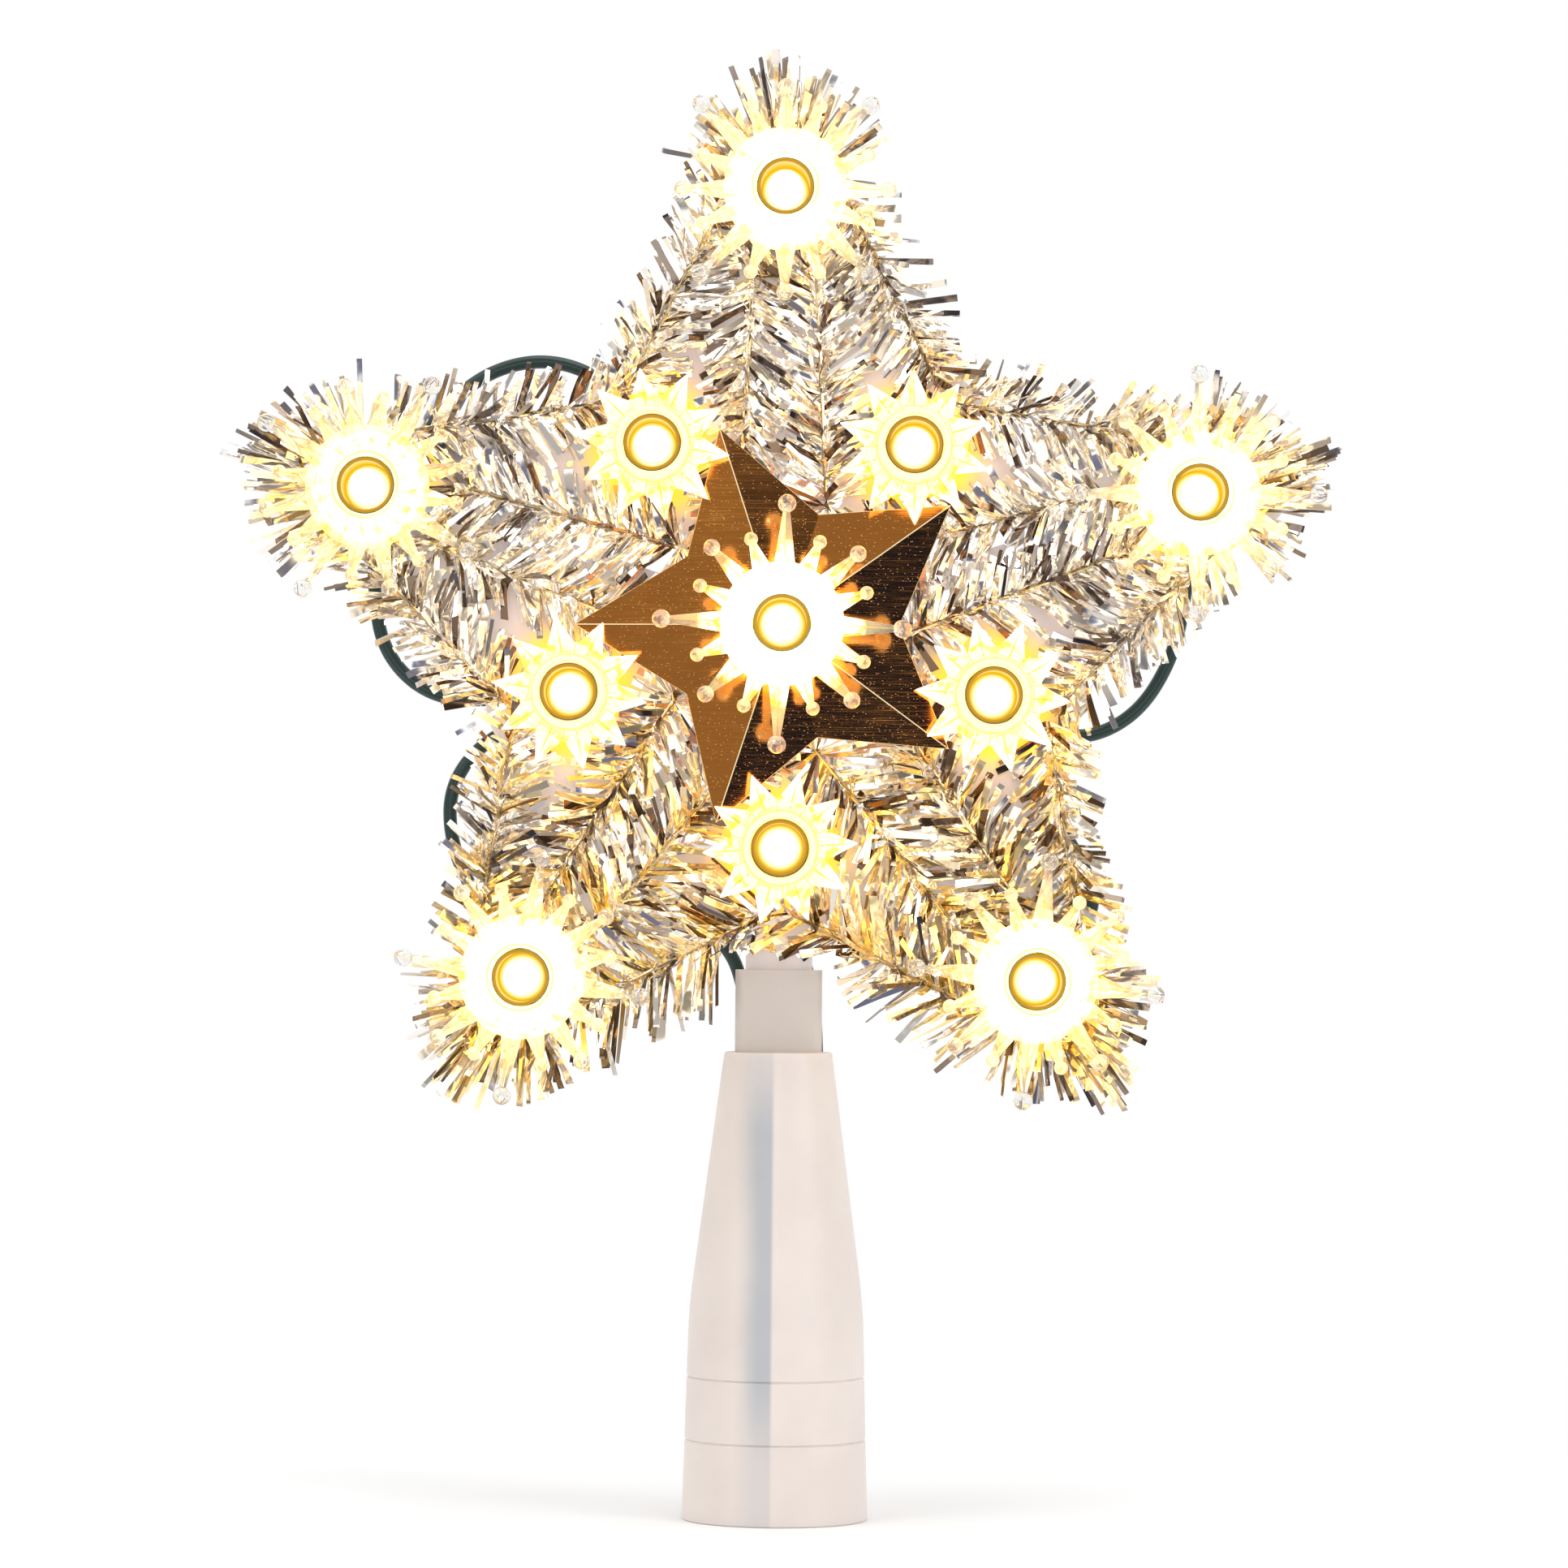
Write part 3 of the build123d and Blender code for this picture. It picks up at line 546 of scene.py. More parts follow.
@dataclass(frozen=True)
class HolderPlastic(Finish):
    """Dark green holder; the wall of its mouth is lit amber by the lamp."""

    colour: Colour = (0.012, 0.075, 0.058)
    wall: Colour = (0.10, 0.045, 0.002)
    light: tuple[tuple[float, Colour], ...] = (
        (0.1, (1.0, 0.60, 0.02)), (0.7, (0.85, 0.44, 0.0)), (1.0, (0.56, 0.30, 0.0)),
    )
    mouth_edge: Pair = (4.66, 4.88)
    mouth_floor: Pair = (0.2, 1.2)
    grain_depth: float = 0.0001

    def nodes(self, canvas: Canvas) -> None:
        """Green plastic with grain, and the amber light inside the mouth.

        Args:
            canvas: the material's nodes.
        """
        grain = canvas.grain(self.colour, drift=0.6, scale=1200.0)
        rise = canvas.attribute("rise")
        within = canvas.rest(canvas.span(canvas.attribute("reach"), *self.mouth_edge))
        inside = canvas.times(within, canvas.span(rise, *self.mouth_floor))
        light = canvas.ramp(canvas.math("DIVIDE", rise, HOLDER_REACH), self.light)
        canvas.dress({
            "Base Color": canvas.blend(inside, grain["Colour"], self.wall), "Roughness": 0.36,
            "Specular IOR Level": 0.2, "Emission Strength": 0.75,
            "Emission Color": canvas.blend(inside, BLACK, light),
        })
        canvas.bump(grain["Height"], strength=0.15, depth=self.grain_depth)


@dataclass(frozen=True)
class LampBasePlastic(Finish):
    """Pale lamp base with the burning lamp's light painted on: bright beside the glass and amber at its edge.
    """

    colour: Colour = (0.22, 0.12, 0.02)
    full: float = 5.0
    light: tuple[tuple[float, Colour], ...] = (
        (0.67, (1.0, 1.0, 0.75)), (0.73, (1.0, 0.78, 0.12)), (0.8, (0.9, 0.55, 0.0)),
    )
    glow_from: Pair = (0.8, 1.2)

    def nodes(self, canvas: Canvas) -> None:
        """Pale plastic with a painted glow from the lamp that turns amber away from the glass.

        Args:
            canvas: the material's nodes.
        """
        reach = canvas.math("DIVIDE", canvas.attribute("reach"), self.full)
        above = canvas.span(canvas.attribute("rise"), *self.glow_from)
        canvas.dress({
            "Base Color": canvas.grain(self.colour, drift=0.5, scale=1400.0)["Colour"], "Roughness": 0.4,
            "Emission Color": canvas.blend(above, BLACK, canvas.ramp(reach, self.light)),
            "Emission Strength": 0.85,
        })


BURST_REACH = 22.5
SUN_REACH = 14.0
MIDDLE_GLOW = (
    (0.0, (1.0, 1.0, 0.94)), (9.5, (1.0, 1.0, 0.86)), (12.0, (1.0, 0.95, 0.74)), (13.6, (0.85, 0.76, 0.48)),
    (14.6, (0.20, 0.15, 0.05)), (19.0, (0.02, 0.015, 0.005)),
)
STARBURST_GLOW = (
    (0.0, (1.0, 1.0, 0.94)), (5.0, (1.0, 1.0, 0.9)), (5.25, (0.75, 0.48, 0.06)), (5.5, (0.9, 0.70, 0.16)),
    (6.3, (0.95, 0.74, 0.18)), (6.8, (1.0, 0.97, 0.70)), (7.8, (1.0, 1.0, 0.86)), (9.6, (0.62, 0.50, 0.22)),
    (12.0, (0.52, 0.42, 0.20)), (16.0, (0.30, 0.24, 0.10)), (19.0, BLACK),
)
STARBURST_EDGE = (
    (0.0, (1.0, 1.0, 0.9)), (9.0, (1.0, 0.95, 0.6)), (11.0, (1.0, 0.62, 0.05)), (15.0, (0.85, 0.50, 0.03)),
    (20.0, (0.10, 0.06, 0.01)),
)
SUN_GLOW = (
    (0.0, (1.0, 1.0, 0.90)), (5.0, (1.0, 1.0, 0.85)), (5.25, (0.70, 0.42, 0.03)), (5.5, (1.0, 0.95, 0.7)),
    (6.1, (1.0, 0.92, 0.6)), (6.4, (0.66, 0.40, 0.03)), (6.8, (1.0, 0.93, 0.7)), (10.0, (1.0, 0.96, 0.8)),
    (13.3, (1.0, 0.98, 0.88)),
)
SUN_EDGE = ((0.0, (1.0, 0.95, 0.6)), (6.0, (0.65, 0.33, 0.0)), (13.3, (0.68, 0.38, 0.03)))
CONE_PLASTIC = MilkyPlastic("milky_cone", stripe=True)
NECK_PLASTIC = MilkyPlastic("milky_neck", colour=(0.64, 0.58, 0.53))
GOLD_FOIL = MirrorFoil("gold_mirror_foil")
GOLD_EDGE = MirrorFoil("gold_cut_edge", colour=(1.0, 0.80, 0.46), gloss=0.45)
SILVER_FOIL = TinselFoil("silver_fringe")
MIDDLE_CRYSTAL = LitCrystal("lit_middle", BURST_REACH, MIDDLE_GLOW, clear_from=0.6, clear_to=0.68)
STARBURST_CRYSTAL = LitCrystal(
    "lit_starburst", BURST_REACH, STARBURST_GLOW, strength=0.85, facets_from=7.0, clear=0.85,
    tint=(1.0, 0.94, 0.78),
)
FAINT_CRYSTAL = LitCrystal(
    "lit_faint", BURST_REACH, STARBURST_GLOW, strength=0.58, facets_from=6.0, tint=(1.0, 0.95, 0.76)
)
STARBURST_RIDGE = LitCrystal("lit_starburst_ridge", BURST_REACH, STARBURST_EDGE, strength=0.8)
SUN_CRYSTAL = LitCrystal(
    "lit_sun", SUN_REACH, SUN_GLOW, strength=0.8, facets_from=6.2, clear=0.5, tint=(1.0, 0.62, 0.16)
)
SUN_RIDGE = LitCrystal(
    "lit_sun_ridge", SUN_REACH, SUN_EDGE, strength=0.7, facets_from=6.2, clear=0.5, tint=(1.0, 0.55, 0.05)
)
BURST_FINISHES = {"centre": MIDDLE_CRYSTAL, "tip_5": FAINT_CRYSTAL}
BULB_GLOW = LampGlow("burning_lamp")
HOLDER_GREEN = HolderPlastic("holder_green")
BASE_PLASTIC = LampBasePlastic("lamp_base_pale")
SHEATH_GREEN = GrainedFinish(
    "lead_green", (0.006, 0.032, 0.028), grain_scale=700.0, gloss=0.3, depth=0.00015
)
FLOOR_PAINT = FloorPaint("pale_floor")
TINNED_METAL = GrainedFinish(
    "tinned_strip", (0.72, 0.68, 0.60), grain_scale=1600.0, gloss=0.32, depth=0.0001, metal=1.0
)


REFLECTOR_TURNS = {
    "centre": -2, "tip_1": 45, "tip_2": 0, "tip_3": -6, "tip_4": -9, "tip_5": -32,
    "notch_1": 1, "notch_2": -22, "notch_3": 22, "notch_4": 11, "notch_5": -26,
}


def facing(x: float, y: float, z: float) -> Matrix:
    """Matrix from axes right, up and forward to the frame, with zero at a place."""
    return Matrix(((1, 0, 0, x), (0, 0, -1, y), (0, 1, 0, z), (0, 0, 0, 1)))


def turn_by(angle: float) -> Matrix:
    """Matrix of a turn round the third axis, in radians."""
    return Matrix.Rotation(angle, 4, "Z")


def axis_height(point: Vector) -> float:
    """Height of a point along a lamp's axis."""
    return point.z


def axis_reach(point: Vector) -> float:
    """Distance of a point from a lamp's axis."""
    return point.xy.length


@dataclass(frozen=True)
class Lamp:
    """One lamp of the star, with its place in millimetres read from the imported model."""

    name: str
    kind: LampKind
    x: float
    seat: float
    z: float
    turn: float

    def matrix(self, turned: bool = True) -> Matrix:
        """Matrix from the lamp's own axes to the frame, with or without the reflector's turn."""
        return facing(self.x, self.seat, self.z) @ turn_by(math.radians(self.turn if turned else 0))


def read_lamps() -> dict[str, Lamp]:
    """Find every lamp from the box of its holder.

    Returns:
        The lamps by name.
    """
    lamps = {}
    for name, turn in REFLECTOR_TURNS.items():
        low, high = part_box(f"lamp_holder_{name}")
        kind = LampKind.SUN if name.startswith("notch") else LampKind.STARBURST
        middle = (Vector(low) + Vector(high)) / 2 / MM
        lamps[name] = Lamp(name, kind, middle.x, low[1] / MM + HOLDER_REACH, middle.z, turn)
    return lamps


def spin_profile(bm: BMesh, points: Iterable[Pair], steps: int, closed: bool) -> None:
    """Turn a profile of radius and height round the third axis.

    Args:
        bm: mesh that the shape is added to.
        points: corners as radius and height.
        steps: sides of the round.
        closed: whether the last corner joins the first.
    """
    corners = [bm.verts.new((radius, 0, height)) for radius, height in points]
    pairs = list(zip(corners, corners[1:]))
    if closed:
        pairs.append((corners[-1], corners[0]))
    edges = [bm.edges.new(pair) for pair in pairs]
    bmesh.ops.spin(
        bm, geom=corners + edges, cent=(0, 0, 0), axis=(0, 0, 1), dvec=(0, 0, 0),
        angle=2 * math.pi, steps=steps, use_merge=True, use_duplicate=False,
    )
    bmesh.ops.remove_doubles(bm, verts=bm.verts, dist=MERGE_GAP)


def add_box(bm: BMesh, middle: Triple, sizes: Triple) -> list[BMVert]:
    """Add a box round its middle and return its corners."""
    matrix = Matrix.Translation(middle) @ Matrix.Diagonal((*sizes, 1))
    return bmesh.ops.create_cube(bm, size=1, matrix=matrix)["verts"]


def extruded_corners(made: dict[str, list]) -> list[BMVert]:
    """The new corners among what an extrusion made."""
    return [part for part in made["geom"] if isinstance(part, BMVert)]


def break_edges(
    bm: BMesh, edges: Iterable[BMEdge], width: float, segments: int = 1, trim: bool = False
) -> None:
    """Round or break edges.

    Args:
        bm: mesh that they belong to.
        edges: the edges.
        width: width of the break.
        segments: steps across it.
        trim: whether the new faces take the piece's second material.
    """
    broken = bmesh.ops.bevel(
        bm, geom=list(edges), offset=width, segments=segments, affect="EDGES", profile=0.5, material=-1
    )
    for face in broken["faces"]:
        face.material_index = int(trim)


@dataclass(frozen=True)
class Bar:
    """Sizes of one ridged bar: the reaches and widths of its root and end, and its height at the root."""

    root: float
    end: float
    width: float
    end_width: float
    height: float


def ridge_bar(bar: Bar, back: float) -> BMesh:
    """Three sided bar along the first axis, flat at the back with its ridge to the front.

    Args:
        bar: its sizes.
        back: height of its flat back.

    Returns:
        A new mesh with lightly broken edges.
    """
    bm = bmesh.new()
    corners = [bm.verts.new((bar.root, side * bar.width / 2, back)) for side in (-1, 1)]
    corners.append(bm.verts.new((bar.root, 0, back + bar.height)))
    face = bm.faces.new(corners)
    tips = extruded_corners(bmesh.ops.extrude_face_region(bm, geom=[face], use_keep_orig=True))
    share, stretch = bar.end_width / bar.width, bar.end - bar.root
    bmesh.ops.scale(bm, verts=tips, vec=(1, share, share), space=Matrix.Translation((0, 0, -back)))
    bmesh.ops.translate(bm, verts=tips, vec=(stretch, 0, 0))
    bmesh.ops.recalc_face_normals(bm, faces=bm.faces)
    long_edges = [edge for edge in bm.edges if edge.calc_length() > stretch / 2]
    break_edges(bm, long_edges, RIDGE_BREAK, trim=True)
    return bm


def merge_copies(bm: BMesh, source: BMesh, matrices: Iterable[Matrix]) -> None:
    """Add moved copies of one mesh to another.

    Args:
        bm: mesh that the copies are added to.
        source: mesh that is copied, freed here.
        matrices: places of the copies.
    """
    for matrix in matrices:
        mesh = bpy.data.meshes.new("copy")
        source.to_mesh(mesh)
        mesh.transform(matrix)
        bm.from_mesh(mesh)
        bpy.data.meshes.remove(mesh)
    source.free()


def keep_reading(mesh: Mesh, title: str, values: list[float]) -> None:
    """Keep one value for each point of a mesh as an attribute."""
    mesh.attributes.new(title, "FLOAT", "POINT").data.foreach_set("value", values)


def place_object(name: str, data: ID) -> Object:
    """Put a mesh, curve, light or camera into the scene.

    Args:
        name: name of the object.
        data: what it shows.

    Returns:
        The new object.
    """
    made = bpy.data.objects.new(name, data)
    bpy.context.scene.collection.objects.link(made)
    return made


def link_piece(
    bm: BMesh,
    name: str,
    finish: Finish,
    body: str,
    nodes: Iterable[str],
    matrix: Matrix | None = None,
    readings: dict[str, Callable[[Vector], float]] | None = None,
    crease: float = 35,
    trim: Finish | None = None,
) -> Object:
    """Finish a mesh as a piece of the object.

    Args:
        bm: mesh in millimetres, freed here.
        name: name of the piece.
        finish: its finish.
        body: body that it moves with.
        nodes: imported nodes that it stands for.
        matrix: place of the mesh's own axes in the frame.
        readings: attributes worked out from each point in the mesh's own axes.
        crease: angle in degrees over which an edge stays sharp.
        trim: finish of the faces marked with the second material.

    Returns:
        The new object.
    """
    bmesh.ops.recalc_face_normals(bm, faces=bm.faces)
    mesh = bpy.data.meshes.new(name)
    bm.to_mesh(mesh)
    bm.free()
    for title, rule in (readings or {}).items():
        keep_reading(mesh, title, [rule(vertex.co) for vertex in mesh.vertices])
    mesh.transform(Matrix.Scale(MM, 4) @ (matrix or Matrix.Identity(4)))
    mesh.shade_smooth()
    mesh.set_sharp_from_angle(angle=math.radians(crease))
    for coat in (finish, trim):
        if coat:
            mesh.materials.append(coat.material())
    piece = place_object(name, mesh)
    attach(piece, body)
    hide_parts(*nodes)
    LOG.info("%s: %d faces on %s", name, len(mesh.polygons), body)
    return piece


def dress_node(name: str, finish: Finish) -> None:
    """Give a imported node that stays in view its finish.

    Args:
        name: name of the node.
        finish: its finish.
    """
    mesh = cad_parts[name].data
    mesh.materials.clear()
    mesh.materials.append(finish.material())
    LOG.info("%s: dressed", name)


@dataclass
class Reflector:
    """Clear reflector that turns on a holder: sleeve, disc and its rays or petals."""

    lamp: Lamp
    bore: float = 5.1
    sleeve: float = 6.2
    sleeve_draft: float = 0.05
    foot: float = 0.3
    front: float = 12.5
    disc_back: float = 4.9
    disc_front: float = 6.3
    sides: int = 64
    edge: float = 0.3
    lip: float = 0.4
    disc_round: float = 0.5
    fillet_low: float = 0.2
    fillet_high: float = 0.6
    ray_count: int = 16
    burst_disc: float = 10.6
    ray_root: float = 8.4
    ray_width: float = 4.3
    ray_height: float = 2.5
    ray_end_width: float = 1.1
    bead_reaches: tuple[float, ...] = (20.6, 15.4, 17.7, 15.4)
    bead_radii: tuple[float, ...] = (1.6, 1.2, 1.45, 1.2)
    bead_detail: int = 3
    bead_rise: float = 0.33
    burst_crown: Bar = Bar(root=6.0, end=9.4, width=2.2, end_width=0.7, height=2.6)
    sun_disc: float = 8.4
    petal_count: int = 5
    petal: Bar = Bar(root=6.8, end=13.3, width=6.4, end_width=0.45, height=1.7)
    sun_crown: Bar = Bar(root=6.0, end=8.6, width=2.4, end_width=0.7, height=2.4)
    tier_step: float = 1.3
    crease: float = 25

    def base(self, disc: float) -> BMesh:
        """Sleeve with a rounded lip and its disc, turned from one closed profile.

        Args:
            disc: radius of the disc.

        Returns:
            A new mesh.
        """
        bm = bmesh.new()
        slim = self.sleeve - self.sleeve_draft
        profile = [
            (self.bore, self.foot), (self.sleeve, self.foot), (self.sleeve, self.disc_back),
            (disc - self.edge, self.disc_back), (disc, self.disc_back + self.edge),
            (disc, self.disc_front - self.lip), (disc - self.disc_round, self.disc_front),
            (self.sleeve + self.edge, self.disc_front + self.fillet_low),
            (self.sleeve, self.disc_front + self.fillet_high), (slim, self.front - self.lip),
            (slim - self.edge, self.front), (self.bore + self.edge, self.front),
            (self.bore, self.front - self.lip),
        ]
        spin_profile(bm, profile, self.sides, True)
        return bm

    def crown(self, bar: Bar) -> BMesh:
        """One low wedge of the crown round the sleeve."""
        return ridge_bar(bar, self.disc_front - self.lip)

    def rays(self, bm: BMesh) -> None:
        """Sixteen ridged rays in three lengths, each with a bead, and the low crown between them.

        Args:
            bm: mesh that they are added to.
        """
        step = 2 * math.pi / self.ray_count
        beads = list(zip(self.bead_reaches, self.bead_radii))
        for k in range(self.ray_count):
            turn = turn_by(k * step)
            end, radius = beads[k % len(beads)]
            bar = Bar(self.ray_root, end, self.ray_width, self.ray_end_width, self.ray_height)
            merge_copies(bm, ridge_bar(bar, self.disc_back), [turn])
            lift = Matrix.Translation((end, 0, self.disc_back + self.ray_end_width * self.bead_rise))
            bmesh.ops.create_icosphere(
                bm, subdivisions=self.bead_detail, radius=radius, matrix=turn @ lift
            )
            merge_copies(bm, self.crown(self.burst_crown), [turn @ turn_by(step / 2)])

    def petals(self, bm: BMesh) -> None:
        """Two tiers of ridged petals, the rear ones between the front ones, and the low crown.

        Args:
            bm: mesh that they are added to.
        """
        step = 2 * math.pi / self.petal_count
        for tier in (0, 1):
            turns = [turn_by(math.pi / 2 + (k + (1 - tier) / 2) * step) for k in range(self.petal_count)]
            merge_copies(bm, ridge_bar(self.petal, self.disc_back + tier * self.tier_step), turns)
        turns = [turn_by(math.pi / 2 + (k + 0.5) * step / 2) for k in range(self.petal_count * 2)]
        merge_copies(bm, self.crown(self.sun_crown), turns)

    def build(self) -> None:
        """Make the reflector at its lamp."""
        if self.lamp.kind is LampKind.STARBURST:
            bm, count = self.base(self.burst_disc), self.ray_count
            finish, trim = BURST_FINISHES.get(self.lamp.name, STARBURST_CRYSTAL), STARBURST_RIDGE
            self.rays(bm)
        else:
            bm, count = self.base(self.sun_disc), self.petal_count * 2
            finish, trim = SUN_CRYSTAL, SUN_RIDGE
            self.petals(bm)

        def facet(point: Vector) -> float:
            """Side of the ridge on which a point lies, from 0 to 1."""
            return 0.5 + 0.5 * math.sin(count * math.atan2(point.y, point.x))

        node = f"reflector_{self.lamp.name}"
        link_piece(
            bm, f"crystal_{self.lamp.name}", finish, node, [node], self.lamp.matrix(),
            {"reach": axis_reach, "facet": facet}, self.crease, trim,
        )


@dataclass
class LampUnit:
    """Lamp and holder: the glass, its push-in base, the green barrel and its rear housing."""

    lamp: Lamp
    glass_radius: float = 2.9
    glass_foot: float = 2.65
    glass_shoulder: float = 8.8
    glass_tip: float = 11.2
    dome_steps: int = 6
    lamp_sides: int = 40
    base_low: float = 1.05
    base_thick: float = 1.5
    base_radius: float = 4.0
    base_lip: float = 0.25
    plug: Triple = (5.0, 4.0, 8.5)
    stem: Triple = (3.2, 3.2, 2.0)
    wire: float = 0.3
    loop_rise: float = 3.2
    loop_width: float = 2.4
    loop_offset: float = 1.05
    box_break: float = 0.12
    barrel: float = 4.9
    barrel_sides: int = 48
    mouth: float = 4.2
    floor: float = 1.0
    plug_bore: float = 3.6
    bore_end: float = -9.8
    grip: float = -6.0
    flange: float = 6.4
    flange_thick: float = 1.5
    tail: float = 4.6
    rear: float = -13.0
    tail_sides: int = 8
    lip: float = 0.2

    def build_glass(self) -> None:
        """Make the burning glass."""
        bm = bmesh.new()
        dome = []
        for k in range(self.dome_steps + 1):
            angle = math.pi / 2 * k / self.dome_steps
            height = self.glass_shoulder + (self.glass_tip - self.glass_shoulder) * math.sin(angle)
            dome.append((self.glass_radius * math.cos(angle), height))
        foot = [(0, self.glass_foot), (self.glass_radius, self.glass_foot)]
        spin_profile(bm, foot + dome, self.lamp_sides, False)
        name = self.lamp.name
        link_piece(
            bm, f"glow_{name}", BULB_GLOW, f"lamp_{name}", [f"bulb_glass_{name}"],
            self.lamp.matrix(False), {"rise": axis_height},
        )

    def build_base(self) -> None:
        """Make the push-in base with its plug, stem and filament loop."""
        bm = bmesh.new()
        low, radius, lip = self.base_low, self.base_radius, self.base_lip
        top = low + self.base_thick
        rim = [(0, low), (radius, low), (radius, top - lip), (radius - lip, top), (0, top)]
        spin_profile(bm, rim, self.lamp_sides, False)
        wire, crest = self.wire, top + self.stem[2] + self.loop_rise
        boxes = [((0, 0, low - self.plug[2] / 2), self.plug), ((0, 0, top + self.stem[2] / 2), self.stem)]
        for side in (-1, 1):
            middle = (side * self.loop_offset, 0, crest - self.loop_rise / 2)
            boxes.append((middle, (wire, wire, self.loop_rise)))
        boxes.append(((0, 0, crest - wire / 2), (self.loop_width, wire, wire)))
        for middle, sizes in boxes:
            edges = dict.fromkeys(edge for corner in add_box(bm, middle, sizes) for edge in corner.link_edges)
            break_edges(bm, edges, min(sizes) * self.box_break, 2)
        name = self.lamp.name
        link_piece(
            bm, f"push_base_{name}", BASE_PLASTIC, f"lamp_{name}", [f"bulb_base_{name}"],
            self.lamp.matrix(False), {"rise": axis_height, "reach": axis_reach},
        )

    def build_holder(self) -> None:
        """Make the round barrel with its mouth, and the eight sided flange and tail."""
        bm = bmesh.new()
        lip, grip, bore = self.lip, self.grip, self.plug_bore
        barrel = [
            (bore, grip), (self.barrel, grip), (self.barrel, HOLDER_REACH - lip),
            (self.barrel - lip, HOLDER_REACH), (self.mouth + lip, HOLDER_REACH),
            (self.mouth, HOLDER_REACH - lip), (self.mouth, self.floor), (bore, self.floor),
        ]
        spin_profile(bm, barrel, self.barrel_sides, True)
        shoulder = grip - self.flange_thick
        tail = [
            (0, self.bore_end), (bore, self.bore_end), (bore, grip), (self.flange - lip, grip),
            (self.flange, grip - lip), (self.flange, shoulder + lip), (self.flange - lip, shoulder),
            (self.tail + lip, shoulder), (self.tail, shoulder - lip), (self.tail, self.rear + lip * 2),
            (self.tail - lip * 2, self.rear), (0, self.rear),
        ]
        spin_profile(bm, tail, self.tail_sides, False)
        name = self.lamp.name
        link_piece(
            bm, f"socket_{name}", HOLDER_GREEN, "star", [f"lamp_holder_{name}"],
            self.lamp.matrix(False), {"rise": axis_height, "reach": axis_reach},
        )


@dataclass
class FoilStar:
    """Folded mirror star: ten flat facets round the middle reflector."""

    centre: Lamp
    tip: float = 35.7
    notch: float = 20.2
    rise: float = 5.0
    rim: float = -8.9
    sheet: float = 0.4
    fold: float = 0.1
    hole: float = 7.0
    turn: float = 18
    shortest_fold: float = 1.0
    tip_zone: float = 1.0
    crease: float = 1

    def build(self) -> None:
        """Make the star from a ring of ten corners drawn in to its hole."""
        bm = bmesh.new()
        corners = bmesh.ops.create_circle(bm, segments=STAR_POINTS * 2, radius=1)["verts"]
        for k, corner in enumerate(corners):
            angle = math.radians(TOP_ANGLE + self.turn + k * STAR_STEP / 2)
            radius = self.notch if k % 2 else self.tip
            corner.co = (radius * math.cos(angle), radius * math.sin(angle), 0)
        for vertex in extruded_corners(bmesh.ops.extrude_edge_only(bm, edges=list(bm.edges))):
            share = self.hole / vertex.co.length
            vertex.co = (vertex.co.x * share, vertex.co.y * share, self.rise * (1 - share))
        bmesh.ops.recalc_face_normals(bm, faces=bm.faces)
        if sum(face.normal.z for face in bm.faces) < 0:
            bmesh.ops.reverse_faces(bm, faces=bm.faces)
        bmesh.ops.solidify(bm, geom=bm.faces, thickness=self.sheet)
        ridges = [
            edge for edge in bm.edges
            if edge.calc_length() > self.shortest_fold
            and max(vertex.co.xy.length for vertex in edge.verts) > self.tip - self.tip_zone
        ]
        break_edges(bm, ridges, self.fold, trim=True)
        place = facing(self.centre.x, self.rim, self.centre.z)
        link_piece(
            bm, "mirror_star", GOLD_FOIL, "star", ["foil_star"], place, crease=self.crease,
            trim=GOLD_EDGE,
        )


